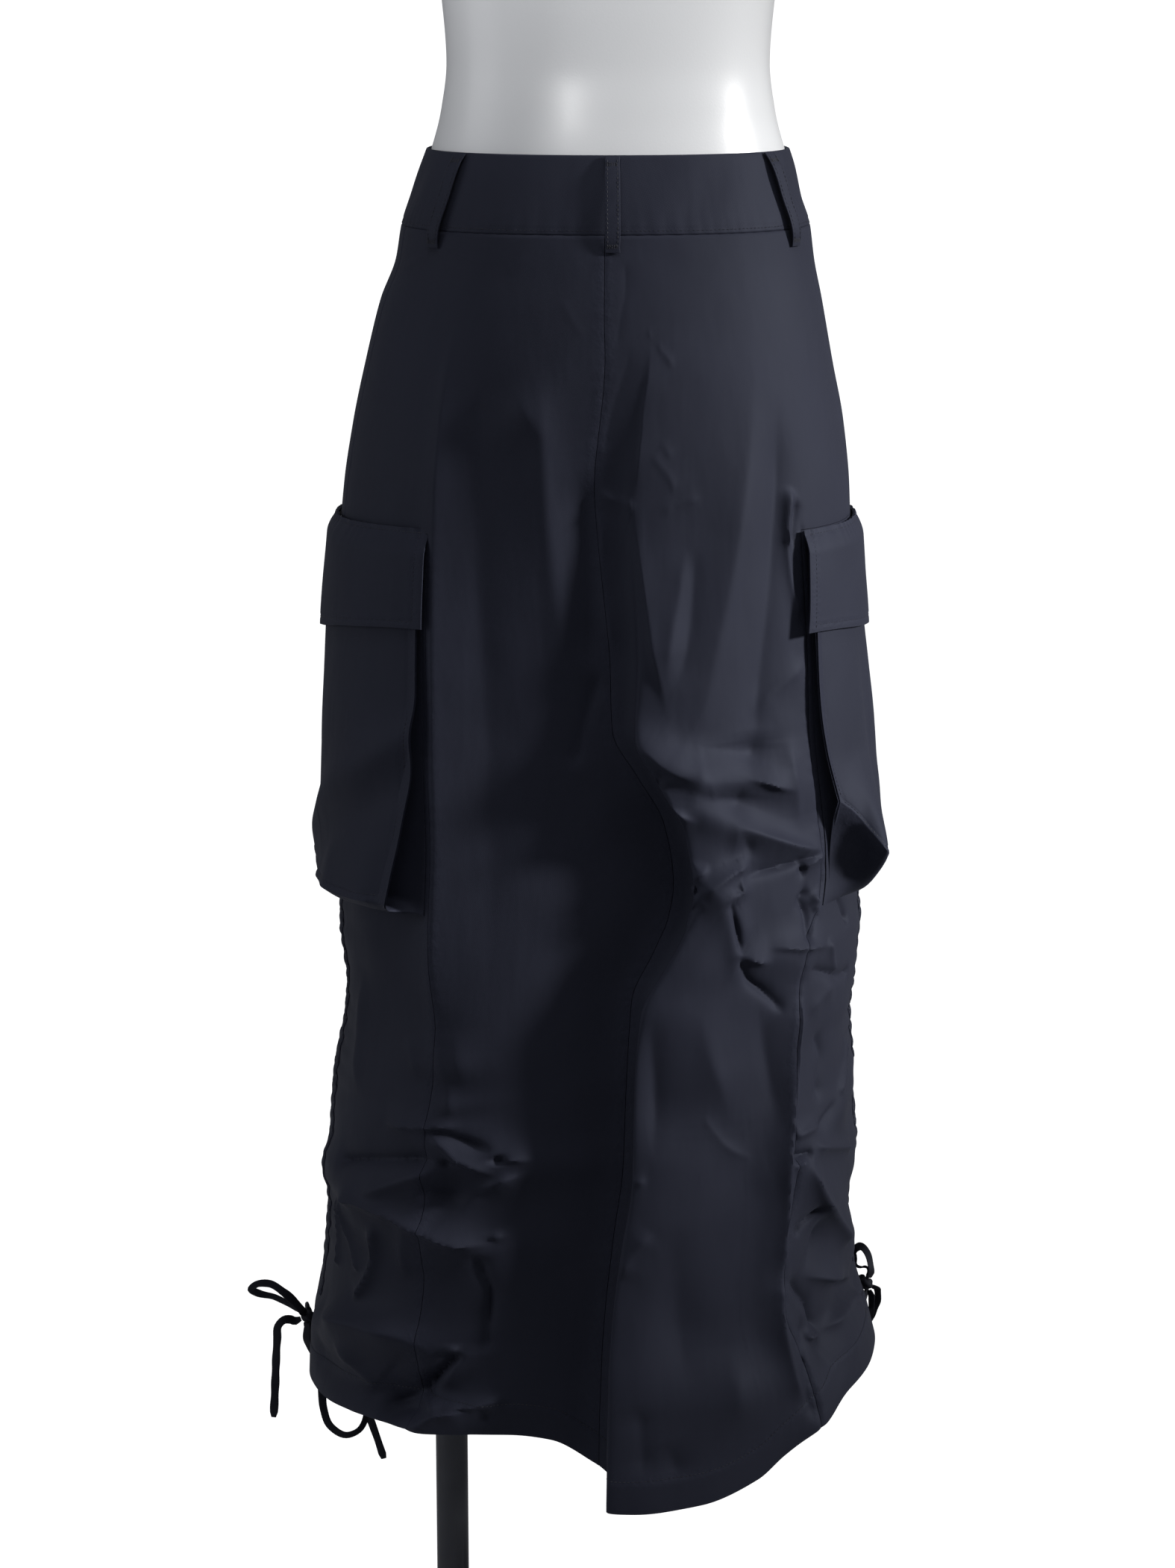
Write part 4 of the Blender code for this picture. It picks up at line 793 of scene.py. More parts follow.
def wall(name, outer, inner, uv=None, sewn=None, cells=None):
    """A closed wall between two grids of points, over the cells that are marked."""
    if cells is None:
        cells = np.ones((outer.shape[0] - 1, outer.shape[1] - 1), bool)
    face_sets = wall_faces(cells, INNER_STEP)
    used = np.unique(np.concatenate([faces.ravel() for faces in face_sets]))
    points = np.concatenate([outer.reshape(-1, 3), inner.reshape(-1, 3)])[used]
    if uv is not None:
        uv = np.tile(uv.reshape(-1, 2), (2, 1))[used]
    if sewn is not None:
        sewn = np.tile(np.broadcast_to(sewn, outer.shape[:2]).ravel(), 2)[used]
    return make_mesh(name, points, [np.searchsorted(used, faces) for faces in face_sets], uv, sewn)


def tube_faces(count, sides, closed):
    """Quads round a tube of rings, and a fan of triangles into each end's middle if it isn't closed."""
    index = np.arange(count * sides).reshape(count, sides)
    after = np.roll(index, -1, axis=1)
    below, below_after = np.roll(index, -1, axis=0), np.roll(after, -1, axis=0)
    quads = np.stack([index, after, below_after, below], -1)
    if closed:
        return [quads.reshape(-1, 4)]
    ends = [
        np.stack([after[0], index[0], np.full(sides, count * sides)], -1),
        np.stack([index[-1], after[-1], np.full(sides, count * sides + 1)], -1),
    ]
    return [quads[:-1].reshape(-1, 4), np.concatenate(ends)]


def tube(name, rings, closed=False):
    """A closed body through rings of points: a ring again, or a middle point at each end."""
    count, sides = rings.shape[:2]
    points = rings.reshape(-1, 3)
    if not closed:
        points = np.concatenate([points, [rings[0].mean(axis=0), rings[-1].mean(axis=0)]])
    return make_mesh(name, points, tube_faces(count, sides, closed))


def grid_normals(points):
    """Unit vectors square to a grid of points: down its rows crossed with along its columns."""
    return unit(np.cross(np.gradient(points, axis=0), np.gradient(points, axis=1)))


def cloth_uv(column, drop, turn_length):
    """The cloth laid flat, in metres: across it by the column, up it by the drop."""
    column, drop = same_shape(column, drop)
    return np.stack([column * turn_length, -drop], axis=-1) * METRES


# %% Finished pieces
pieces = {}  # name: (object, material slot, solids it stands for)


def piece(made, slot, *solids):
    """Notes a finished piece with its material slot and the solids that it stands for."""
    pieces[made.name] = (made, slot, solids)
    print(f"{made.name}: {len(made.data.polygons)} faces")


def cloth_piece(solid, outer, normal, thick, uv, sewn=None):
    """The cloth wall that stands for a solid: its outer grid, and that grid moved in by its thickness."""
    piece(wall(f"{solid}_cloth", outer, outer - normal * thick, uv, sewn), "cloth", solid)


# %% [markdown]
# ## The drawstrings' ties
# Each drawstring is a narrow self-cloth tape, turned in and flat, that comes out of a knot at the
# bottom of its casing and hangs in a bow: two loops and two ends.  A tape is a flattened tube
# carried along its route: its cross-section is a slim oval that is turned slowly about the route, so
# the tape shows its face here and its edge there.  The routes are those of the solids.

# %% Routes of the ties as (x, y, drop)
KNOT_RADIUS, TIE_GAP = 5.0, 0.5
TAPE_WIDTH, TAPE_THICKNESS = 6.2, 1.3
TIES = {
    "tie_loop_left_upper": [
        (-225.5, 7, 858), (-231, 3, 849), (-240, -1, 838), (-250, -2, 831),
        (-260, -1, 832), (-264, 2, 837), (-259, 6, 842), (-248, 9, 846), (-237, 11, 853),
        (-230, 12.5, 858.5),
    ],
    "tie_loop_left_lower": [
        (-223.8, 10, 872), (-224.5, 11, 879), (-222.5, 18, 890), (-217.5, 25, 905), (-215, 25, 925),
        (-214, 24, 942), (-209, 24, 957), (-197, 23, 964), (-187, 24, 960), (-182, 27, 950),
        (-184, 31, 937), (-195, 35, 921), (-211, 38, 906), (-221, 34, 893), (-223.5, 26, 880),
        (-224.5, 19, 871),
    ],
    "tie_end_left_outer": [
        (-232, 12, 866), (-236, 11, 865), (-241, 9, 864.5), (-245, 7, 868), (-246, 6, 878),
        (-247, 5, 892), (-248, 5, 910), (-249, 5, 927), (-250, 5, 941),
    ],
    "tie_end_left_inner": [
        (-223, 24, 859), (-224.5, 29, 861), (-224.5, 37, 869), (-222, 43, 884), (-214, 46, 901),
        (-203, 44, 918), (-191, 39, 936), (-181, 33, 951), (-175, 29, 966), (-169, 27, 985),
    ],
    "tie_loop_right_upper": [
        (198.5, 38, 842), (199.6, 38, 834), (198, 44, 827), (194.5, 54, 824.5), (191, 63, 828),
        (188.8, 69, 835), (190.8, 64, 842.5), (194.5, 57, 841.5), (198, 50, 839.5), (197.5, 42.4, 844),
    ],
    "tie_loop_right_lower": [
        (198.6, 38.2, 852.4), (200.5, 37.5, 861), (200.5, 39, 871), (197, 43, 882), (191.5, 49, 891),
        (186.5, 55, 892), (189, 61.5, 886), (196, 60, 874), (197.5, 54, 864), (197.6, 48.5, 856.5),
        (197, 42.3, 851.3),
    ],
    "tie_end_right_outer": [
        (200.7, 40.6, 850.2), (205, 42.8, 853.2), (206, 45, 862), (203.5, 47.5, 872), (199.5, 51, 883),
        (194, 55, 893), (190, 58, 905),
    ],
    "tie_end_right_inner": [
        (196.9, 44, 848.2), (196.5, 52, 849), (195, 60, 852), (192.5, 69, 859), (190, 77, 869),
        (188, 83, 881), (185, 87, 897), (183, 89, 912),
    ],
}


# %% Tape along a route
def smooth_route(points, spacing):
    """Points at even spacing on a smooth curve through the route's own points."""
    points = np.array(points, float)
    lengths = distances(points)
    slopes = np.gradient(points, lengths, axis=0)
    count = max(int(lengths[-1] / spacing), 6)
    at = np.linspace(0, lengths[-1], count + 1)
    cell = np.clip(np.searchsorted(lengths, at, side="right") - 1, 0, len(points) - 2)
    width = np.diff(lengths)[cell][:, None]
    s = (at - lengths[cell])[:, None] / width
    return cubic(s, points[cell], points[cell + 1], slopes[cell] * width, slopes[cell + 1] * width)


def frames_along(route, first_side):
    """A side and an up vector at each point of a route, carried along it without twisting."""
    ahead = unit(np.gradient(route, axis=0))
    sides, side = [], np.array(first_side, float)
    for direction in ahead:
        side = unit(side - direction * (side @ direction))
        sides.append(side)
    sides = np.array(sides)
    return sides, np.cross(ahead, sides)


def off_knot(centre, towards):
    """Two points that lead straight out of a knot."""
    away = unit(towards - centre)
    return [centre + away * (KNOT_RADIUS + TIE_GAP), centre + away * (KNOT_RADIUS + TIE_GAP + 5)]


def tape(name, route, twist):
    """A flat tape: an oval with blunt edges, its face to the back but for twist(share) degrees."""
    side, up = frames_along(route, (0.1, -1, 0.05))
    share = np.linspace(0, 1, len(route))[:, None]
    facing = np.cross(np.gradient(route, axis=0), (0, 1, 0))
    flat_on = np.arctan2((facing * up).sum(axis=1), (facing * side).sum(axis=1))
    flat_on = np.unwrap(2 * flat_on) / 2
    kernel = np.hanning(9) / np.hanning(9).sum()
    flat_on = np.convolve(np.pad(flat_on, 4, mode="edge"), kernel, "valid")[:, None]
    turn = flat_on + np.interp(share, np.linspace(0, 1, len(twist)), np.radians(twist))
    wide = side * np.cos(turn) + up * np.sin(turn)
    thick = up * np.cos(turn) - side * np.sin(turn)
    angle = once_round(14)
    blunt, flat = blunted(np.cos(angle), 0.55), blunted(np.sin(angle), 0.8)
    ends = 1 - 0.35 * np.clip(1 - np.minimum(share, 1 - share) * len(route) / 2, 0, 1)
    creased = 1 + 0.06 * np.sin(share * 31 + twist[-1])
    rings = route[:, None] + (
        wide[:, None] * blunt[None, :, None] * (TAPE_WIDTH / 2 * ends * creased)[..., None]
        + thick[:, None] * flat[None, :, None] * (TAPE_THICKNESS / 2)
    )
    return tube(name, rings)


def knot_centre(side):
    """The middle of a knot's solid, in millimetres below the waist."""
    low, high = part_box(f"tie_knot_{side}")
    return (np.array(low) + np.array(high)) / 2 / METRES - (0, 0, WAIST_TOP)


TWISTS = {  # degrees that a tape's face is turned off the back, at even shares of its length
    "tie_loop_left_upper": (40, 10, -15, 20, 45),
    "tie_loop_left_lower": (30, 8, -12, 30, 50, 15, 25),
    "tie_end_left_outer": (35, 10, 12, -8, 5),
    "tie_end_left_inner": (40, 20, -10, 14, 8),
    "tie_loop_right_upper": (30, 60, 40, 70),
    "tie_loop_right_lower": (40, 55, 70, 45),
    "tie_end_right_outer": (30, 45, 35, 50),
    "tie_end_right_inner": (35, 40, 25, 40),
}
tie_routes = {}
for name, points in TIES.items():
    centre = knot_centre("left" if "left" in name else "right")
    points = [np.array((x, y, -drop)) for x, y, drop in points]
    last = off_knot(centre, points[-1])[::-1] if "loop" in name else points[-1:]
    tie_routes[name] = smooth_route(off_knot(centre, points[0]) + points[1:-1] + last, 2.0)
    piece(tape(f"{name}_tape", tie_routes[name], TWISTS[name]), "tie_ribbon", name)

# %% [markdown]
# ## The knots
# A bow's knot is tape wound round itself.  A small ball whose radius rises in three slanting bands
# gives the wound look at this size: the rise follows the sine of an angle that runs round and up.

# %% Knots
for side in ("left", "right"):
    tilt = np.linspace(-80, 80, 25)[:, None] * math.pi / 180
    around = once_round(48)[None, :]
    bands = np.abs(np.sin(1.5 * around + 2.2 * tilt)) ** 0.5
    radius = KNOT_RADIUS * (0.80 + 0.22 * bands * np.cos(tilt) ** 0.5)
    level = radius * np.cos(tilt)
    rings = np.stack([level * np.cos(around), level * np.sin(around), radius * np.sin(tilt)], axis=-1)
    piece(tube(f"tie_knot_{side}_wound", rings + knot_centre(side)), "tie_ribbon", f"tie_knot_{side}")

# %% [markdown]
# ## The panels
# Six panels make the skirt's body: two back, two side and two front.  All are cut out of the one
# surface on a fine grid.  The grid's lines lie closest where the cloth is folded most, since a
# crease can be no sharper than the cells that carry it.  Each panel is a wall of cloth, and its
# outer rim is drawn in by half a seam gap, so that two panels meet in a fine dark groove.

# %% Lines of the panels' grid
COLUMN_RUNS = (  # a column, and the number of cells from there to the next
    (FRONT_LEFT, 36), (FRONT_SEAM_LEFT, 52), (SIDE_LEFT, 18), (UPPER_SEAM_LEFT, 66),
    (BACK_SEAM_LEFT, 54), (CENTRE_BACK, 30), (-0.004, 14), (0.008, 18), (0.032, 72),
    (BACK_SEAM_RIGHT, 54), (UPPER_SEAM_RIGHT, 32), (SIDE_RIGHT, 50), (FRONT_SEAM_RIGHT, 36),
    (FRONT_RIGHT, 0),
)
ROW_RUNS = (
    (BAND_HEIGHT + SEAM_GAP / 2, 84), (SEAM_STEP, 44), (370, 120), (560, 40), (650, 80),
    (HEM_RUN, 84), (LOWEST, 0),
)
PANELS = {  # first and last column above the seams' step, then below it
    "back_panel_left": (UPPER_SEAM_LEFT, CENTRE_BACK, BACK_SEAM_LEFT, CENTRE_BACK),
    "back_panel_right": (CENTRE_BACK, UPPER_SEAM_RIGHT, CENTRE_BACK, BACK_SEAM_RIGHT),
    "side_panel_left": (0, 0, FRONT_SEAM_LEFT, BACK_SEAM_LEFT),
    "side_panel_right": (0, 0, BACK_SEAM_RIGHT, FRONT_SEAM_RIGHT),
    "front_panel_left": (FRONT_LEFT, UPPER_SEAM_LEFT, FRONT_LEFT, FRONT_SEAM_LEFT),
    "front_panel_right": (UPPER_SEAM_RIGHT, FRONT_RIGHT, FRONT_SEAM_RIGHT, FRONT_RIGHT),
}
COLUMNS, ROWS = runs(COLUMN_RUNS), runs(ROW_RUNS)
GRID_DROPS = hung(COLUMNS[None, :], ROWS[:, None])
GRID = cloth(COLUMNS, GRID_DROPS)
GRID_NORMALS = grid_normals(GRID)
GRID_UV = cloth_uv(COLUMNS, GRID_DROPS, GIRTH)
print("grid of", len(ROWS), "rows and", len(COLUMNS), "columns")


# %% Panels
def panel_cells(upper_left, upper_right, low_left, low_right):
    """Cells of the grid between a panel's seams, above and below their step."""
    column = (COLUMNS[1:] + COLUMNS[:-1]) / 2
    row = (ROWS[1:] + ROWS[:-1]) / 2
    upper = np.outer(row < SEAM_STEP, (column > upper_left) & (column < upper_right))
    lower = np.outer(row > SEAM_STEP, (column > low_left) & (column < low_right))
    return upper | lower


def drawn_in(points, cells):
    """The grid's points, with those on the marked cells' rim moved half a seam gap inwards."""
    middles = (points[:-1, :-1] + points[:-1, 1:] + points[1:, :-1] + points[1:, 1:]) / 4
    total, count = np.zeros_like(points), np.zeros(points.shape[:2])
    for rows in (slice(None, -1), slice(1, None)):
        for columns in (slice(None, -1), slice(1, None)):
            total[rows, columns] += np.where(cells[..., None], middles, 0)
            count[rows, columns] += cells
    towards = unit(total / np.maximum(count, 1)[..., None] - points)
    rim = (count > 0) & (count < 4)
    return points + np.where(rim[..., None], towards * SEAM_GAP * 0.62, 0)


def sewn_near_seams(column, drop):
    """1 at a seam or the hem's stitching, falling to 0 over a few millimetres."""
    mark = hill(hem_drop(column) - drop - HEM_STITCHES, 4)
    for middle, top, bottom, _ in SEAMS.values():
        away = turns_from(middle, column) * GIRTH
        mark = np.maximum(mark, hill(away, 6) * (drop > top) * (drop < bottom))
    return mark


GRID_SEWN = sewn_near_seams(COLUMNS, GRID_DROPS)
inner = GRID - GRID_NORMALS * CLOTH_WALL
inner[0, :, 2] += 1.1  # the top tucks under the band
for name, columns in PANELS.items():
    cells = panel_cells(*columns)
    outer = drawn_in(GRID, cells)
    piece(wall(f"{name}_cloth", outer, inner, GRID_UV, GRID_SEWN, cells), "cloth", name)

# %% [markdown]
# ## The waistband
# A straight band of doubled cloth, folded over at the top.  Its section is a closed outline: down
# the inside, round the bottom, up the outside and round the top.  It is carried once round the
# waist, and the buttoned end lies over the other at the centre front.


# %% Waistband
BAND_END = 0.028  # turns by which the buttoned end runs past the centre front
BAND_LIFT = BAND_WALL + 0.7
BAND_STITCHES = BAND_HEIGHT - 3.2  # drop of the stitching along the lower edge


def on_band(turn, drop, out):
    """Points out millimetres off the waistband's outer face, or off the cloth just below it."""
    turn, drop, out = same_shape(turn, drop, out)

    def plain(at, down):
        """The waist's outline with no folds in it."""
        x, y = ring(at, down, SECTIONS)
        return np.stack([x, y, -down], axis=-1)

    across = plain(turn + 4e-4, drop) - plain(turn - 4e-4, drop)
    down = plain(turn, drop + 0.4) - plain(turn, drop - 0.4)
    return plain(turn, drop) + unit(np.cross(down, across)) * out[..., None]


def band_waves(turn, drop):
    """Slack of the band between its stitching and its fold: slow waves that are nil at both."""
    share = np.clip(drop / BAND_HEIGHT, 0, 1)
    slack = np.sin(math.pi * share)
    slow = 0.45 * np.sin(2 * math.pi * 7 * turn + 1) + 0.35 * np.sin(2 * math.pi * 17 * turn + 5 * share)
    pulls = 0.28 * np.sin(2 * math.pi * 83 * turn + 2 * np.sin(2 * math.pi * 11 * turn)) * share**4
    return slack * slow + pulls - 0.35 * hill(drop - BAND_STITCHES, 1.2)


def lap_lift(turn):
    """How far the band stands off: 0 all round, then up over its own end at the centre front."""
    return BAND_LIFT * smooth_step(turn, FRONT_RIGHT - 0.045, FRONT_RIGHT - 0.006)


edge = 1.15  # radius of the band's folded edges
arc = np.linspace(0, math.pi, 6)[1:-1]
outside = np.linspace(BAND_HEIGHT - SEAM_GAP - edge, edge, 26)
profile = np.concatenate([
    np.stack([outside, 0 * outside], 1),
    np.stack([edge - edge * np.sin(arc), -edge + edge * np.cos(arc)], 1),
    np.stack([outside[::-4], 0 * outside[::-4] - BAND_WALL], 1),
    np.stack([outside[0] + edge * np.sin(arc), -BAND_WALL + edge - edge * np.cos(arc)], 1),
])
band_turn = np.linspace(FRONT_LEFT, FRONT_RIGHT + BAND_END, 300)[:, None]
on_outside = smooth_step(profile[:, 1], -BAND_WALL, -0.6)[None, :]
band_drop = profile[None, :, 0] + 0 * band_turn
band_out = profile[None, :, 1] + lap_lift(band_turn) + on_outside * band_waves(band_turn, band_drop)
piece(tube("waistband_cloth", on_band(band_turn, band_drop, band_out)), "cloth", "waistband")

# %% [markdown]
# ## The belt loops
# Five strips, each folded in three and stitched along both edges, tacked down at the top of the
# band and just below it.  Between its tacks a loop stands off the band.  The strip is a flat oval
# carried down the band, a little wider in the middle than at its pinched tacks.

# %% Belt loops
LOOP_WIDTH, LOOP_LENGTH, LOOP_WALL = 10.0, 62.0, 1.6
TOP_TACK, LOW_TACK = 0.09, 0.94  # shares of the loop's length
LOOP_STITCHES = 0.66  # share of the half width
BELT_LOOPS = {  # turn of its top, turn of its foot
    "belt_loop_back": (0.003, 0.003),
    "belt_loop_back_left": (-0.139, -0.144),
    "belt_loop_back_right": (0.158, 0.168),
    "belt_loop_front_left": (-0.348, -0.344),
    "belt_loop_front_right": (0.362, 0.358),
}


def loop_place(name, share, across):
    """(turn, drop, lift) at a share down a belt loop and a share across it from -1 to 1."""
    top, bottom = BELT_LOOPS[name]
    middle = top + (bottom - top) * share
    drop = 1.0 + LOOP_LENGTH * share
    x, y = ring(middle, drop, SECTIONS)
    ahead_x, ahead_y = ring(middle + 1e-3, drop, SECTIONS)
    half = LOOP_WIDTH / 2 * 1e-3 / np.hypot(ahead_x - x, ahead_y - y)
    pinch = 1 - 0.06 * hill(share - TOP_TACK, 0.04) - 0.05 * hill(share - LOW_TACK, 0.04)
    lift = LAID_GAP + 3.4 * (1 - (2 * share - 1) ** 4)
    return middle + half * across * pinch, drop, lift


for name in BELT_LOOPS:
    share = np.linspace(0, 1, 56)[:, None]
    angle = once_round(24)[None, :]
    across, high = blunted(np.cos(angle), 0.4), blunted(np.sin(angle), 0.5)
    turn, drop, lift = loop_place(name, share, across)
    tacks = hill(share - TOP_TACK, 0.03) + hill(share - LOW_TACK, 0.03)
    seamed = 0.22 * hill(np.abs(across) - LOOP_STITCHES, 0.12) + 0.3 * tacks
    crumple = 0.18 * np.sin(share * 23 + 7 * across) * (1 - across**2)
    out = lift + LOOP_WALL / 2 * (1 + high) - (high > 0) * (seamed - crumple)
    piece(tube(f"{name}_cloth", on_band(turn, drop, out)), "cloth", name)

# %% [markdown]
# ## The waist button
# A four-hole button is a turned disc with a raised rim and four small holes.  On a polar grid its
# face is one height for every point: the rim is a ring-shaped bump and each hole a steep dip.

# %% Waist button
BUTTON_DIAMETER = 17.0
BUTTON_RIM, HOLE_OFFSET = 6.9, 1.6  # from the button's middle
button_turn = FRONT_RIGHT + BAND_END * 0.45
button_foot = on_band(button_turn, BAND_HEIGHT / 2, BAND_LIFT + 0.3)
button_away = on_band(button_turn, BAND_HEIGHT / 2, BAND_LIFT + 1.3) - button_foot
button_side = unit(np.cross((0, 0, 1), button_away))
button_up = np.cross(button_away, button_side)
button_frame = np.array([button_side, button_up, button_away])
radius = BUTTON_DIAMETER / 2
turned_edge = [radius - 0.2, radius, radius - 0.1, radius - 0.8, radius * 0.6]
face = np.concatenate([np.linspace(0.3, radius - 0.6, 26), turned_edge])[:, None]
level = np.concatenate([np.full(26, 2.4), [2.3, 1.7, 1.1, 0.5, 0.3]])[:, None]
around = once_round(96)[None, :]
flat_x, flat_y = face * np.cos(around), face * np.sin(around)
rim = 0.75 * hill(face - BUTTON_RIM, 0.9)
to_hole = np.hypot(np.abs(flat_x) - HOLE_OFFSET, np.abs(flat_y) - HOLE_OFFSET)  # of four alike
holes = smooth_step(to_hole, 1.05, 0.7)
upper = (np.arange(len(face)) < 26)[:, None]
height = level + upper * (rim - 1.5 * holes)
rings = button_foot + np.stack([flat_x, flat_y, height], axis=-1) @ button_frame
piece(tube("waist_button_turned", rings), "button", "waist_button")

# %% [markdown]
# ## The fly placket
# The fly's facing is stitched down beside the centre front in a curve.  It is a strip that lies on
# the right front panel, with its lower end rounded into the seam.

# %% Fly placket
FLY_WIDTH, FLY_TOP, FLY_BOTTOM, FLY_CURVE = 0.034, 55.0, 216.0, 46.0
FLY_EDGE = FRONT_RIGHT - 0.0012


def fly_reach(drop):
    """How far the placket reaches from the centre front: its full width, then a quarter oval."""
    past = np.clip((drop - (FLY_BOTTOM - FLY_CURVE)) / FLY_CURVE, 0, 0.985)
    return FLY_WIDTH * np.sqrt(1 - past**2)


down = np.linspace(FLY_TOP, FLY_BOTTOM, 91)[:, None]
column = FLY_EDGE - fly_reach(down) * np.linspace(1, 0, 19)[None, :]
fly_top = on_cloth(column, down, LAID_GAP + CLOTH_WALL)
cloth_piece("fly_placket", fly_top, cloth_normals(column, down), CLOTH_WALL, cloth_uv(column, down, GIRTH))

# %% [markdown]
# ## The cargo pockets
# A bellows pocket is a face joined to the panel by a gusset that folds in at its back, front and
# bottom.  The pocket is one grid: some columns climb the gusset from the panel to the face's edge,
# the middle ones cross the face, and the last go back down.  The face's back edge leans towards
# the side as it goes down, which shows the dark gusset, and its bottom edge slants.

# %% Pockets
POCKET_TOP = 266.0
POCKET_DEPTH = table(
    "drop left right",
    [(266, 4.5, 4.0), (335, 7.5, 6.0), (400, 10, 8.8), (450, 13, 15), (512, 19, 24)],
)
POCKET_LEAN = table(
    "drop left right",
    [
        (266, 0, -0.003), (350, 0, -0.004), (400, 0.002, -0.001),
        (432, 0.005, 0.002), (478, 0.010, 0.006), (518, 0.013, 0.008),
    ],
)
POCKETS = {
    "left": {
        "back": -0.110, "front": -0.290, "bottom": 512.0, "face": (503, 505, 502),
        "corner": 0.65, "swing": (0, 0, 0), "fullness": 0.32, "hand": -1,
    },
    "right": {
        "back": 0.131, "front": 0.311, "bottom": 512.0, "face": (438, 476, 494),
        "corner": -0.30, "swing": (7, -36, 0), "fullness": 0.45, "hand": 1,
    },
}
FACE_WIDTH, FACE_HEIGHT = 180.0, 230.0  # sizes that turn a share of a pocket's face into millimetres
GUSSET_STEPS, FACE_COLUMNS, FACE_ROWS = 11, 81, 107
GUSSET_FOLD = 1.1  # how far a gusset folds in, as a share of its depth
BAG_ACROSS = 0.27  # share across the face where its bottom edge turns


def pocket_out(side, across, drop):
    """How far the pocket's face stands off the panel, most at its foot."""
    pocket = POCKETS[side]
    depth = through(POCKET_DEPTH["drop"], POCKET_DEPTH[side], drop)
    fall = np.clip((drop - POCKET_TOP) / (pocket["bottom"] - POCKET_TOP), 0, 1)
    return depth * (1 + pocket["corner"] * (1 - across) ** 2 * fall**2)


def face_bottom(side, across):
    """Drop of the face's bottom edge: through its height at the back, the middle and the front."""
    return np.interp(across, (0, BAG_ACROSS, 1), POCKETS[side]["face"])


def bag_swing(side, across, down, rise_down):
    """How far the bag's corner swings out of the face: to the side, to the back and up."""
    low = face_bottom(side, across)
    drop = POCKET_TOP + (low - POCKET_TOP) * down
    near = hill(across - BAG_ACROSS, 0.18) * smooth_step(drop, 405, 478)
    return (near * rise_down**0.5)[..., None] * POCKETS[side]["swing"]


def pocket_place(side, across, rise_across, down, rise_down):
    """(column, drop, out) of a pocket's point: across and down the face, and up its gussets."""
    pocket = POCKETS[side]
    width = pocket["front"] - pocket["back"]
    low = face_bottom(side, across)
    on_face = POCKET_TOP + (low - POCKET_TOP) * down
    drop = on_face + (pocket["bottom"] - low) * (1 - rise_down) * (down >= 1)
    depth = pocket_out(side, across, on_face)
    lean = through(POCKET_LEAN["drop"], POCKET_LEAN[side], on_face)
    bellows = GUSSET_FOLD * depth * 4 * rise_across * (1 - rise_across) * rise_down**2
    from_back = np.where(across < 0.5, 1, -1)
    shift = lean * (1 - across) * rise_across + from_back * (bellows + 0.8 * rise_across) / TURN_LENGTH
    column = pocket["back"] + width * across + pocket["hand"] * shift
    tuck = np.clip(across / 0.26, 0, 1) ** 0.9
    sag = tuck + (1 - tuck) * rise_down**3 if side == "right" else 1.0
    return column, drop, LAID_GAP + rise_across * rise_down ** pocket["fullness"] * sag * depth


def to_edge(across, down, width, height):
    """Millimetres from the nearest side or the foot of a face of this width and height."""
    return np.minimum(np.minimum(across, 1 - across) * width, (1 - down) * height)


def face_relief(side, across, down):
    """Soft unevenness of a pocket's face: a puffed middle, a slanting fold and edges pinched flat."""
    edge = to_edge(across, down, FACE_WIDTH, FACE_HEIGHT)
    puff = 2.2 * (1 - np.exp(-edge / 22)) * smooth_step(down, 0.1, 0.6)
    if side == "left":
        slant = 4.2 * hill((down - 0.50 - 0.55 * across) * FACE_HEIGHT, 15)
        slant -= 2.4 * hill((down - 0.64 - 0.60 * across) * FACE_HEIGHT, 16)
        crumple = 2.4 * np.sin(across * 34 + 4 * down) * smooth_step(down, 0.80, 1.0) * np.exp(-across / 0.35)
    else:
        slant = -2.2 * hill((across - 0.30 - 0.22 * down) * FACE_WIDTH, 12) * smooth_step(down, 0.15, 0.6)
        slant += 1.8 * hill((across - 0.52 - 0.16 * down) * FACE_WIDTH, 15) * smooth_step(down, 0.1, 0.7)
        crumple = 1.2 * np.sin(across * 30 + 6 * down) * smooth_step(down, 0.86, 1.0)
    pinch = 0.7 * hill(edge - 1.0, 1.4) - 0.5 * hill(edge - 4.5, 1.2)
    return puff + slant + crumple + pinch


for side in ("left", "right"):
    up = np.linspace(0, 1, GUSSET_STEPS) ** 1.6
    gusset = np.ones(GUSSET_STEPS - 1)
    across = np.concatenate([0 * gusset, np.linspace(0, 1, FACE_COLUMNS), gusset])[None, :]
    rise_across = np.concatenate([up[:-1], np.ones(FACE_COLUMNS), up[-2::-1]])[None, :]
    down = np.concatenate([np.linspace(0, 1, FACE_ROWS), gusset])[:, None]
    rise_down = np.concatenate([np.ones(FACE_ROWS), up[-2::-1]])[:, None]
    column, drop, out = pocket_place(side, across, rise_across, down, rise_down)
    out = out + face_relief(side, across, down) * rise_across**3 * rise_down**3
    outer = on_cloth(column, drop, out, 1 - rise_across * rise_down)
    outer = outer + bag_swing(side, across, down, rise_down * rise_across)
    normal = grid_normals(outer) * POCKETS[side]["hand"]
    sewn = rise_across * rise_down * hill(to_edge(across, down, FACE_WIDTH, FACE_HEIGHT), 6)
    cloth_piece(f"pocket_{side}", outer, normal, CLOTH_WALL, cloth_uv(column, drop, TURN_LENGTH), sewn)

# %% [markdown]
# ## The pocket flaps
# Each flap is doubled cloth, sewn down along its top and hanging over the pocket's mouth.  Its lower
# edge rises towards the back.  The wall's two grids close at the rim, and the edges are pressed
# thin, with a groove where the stitching runs.

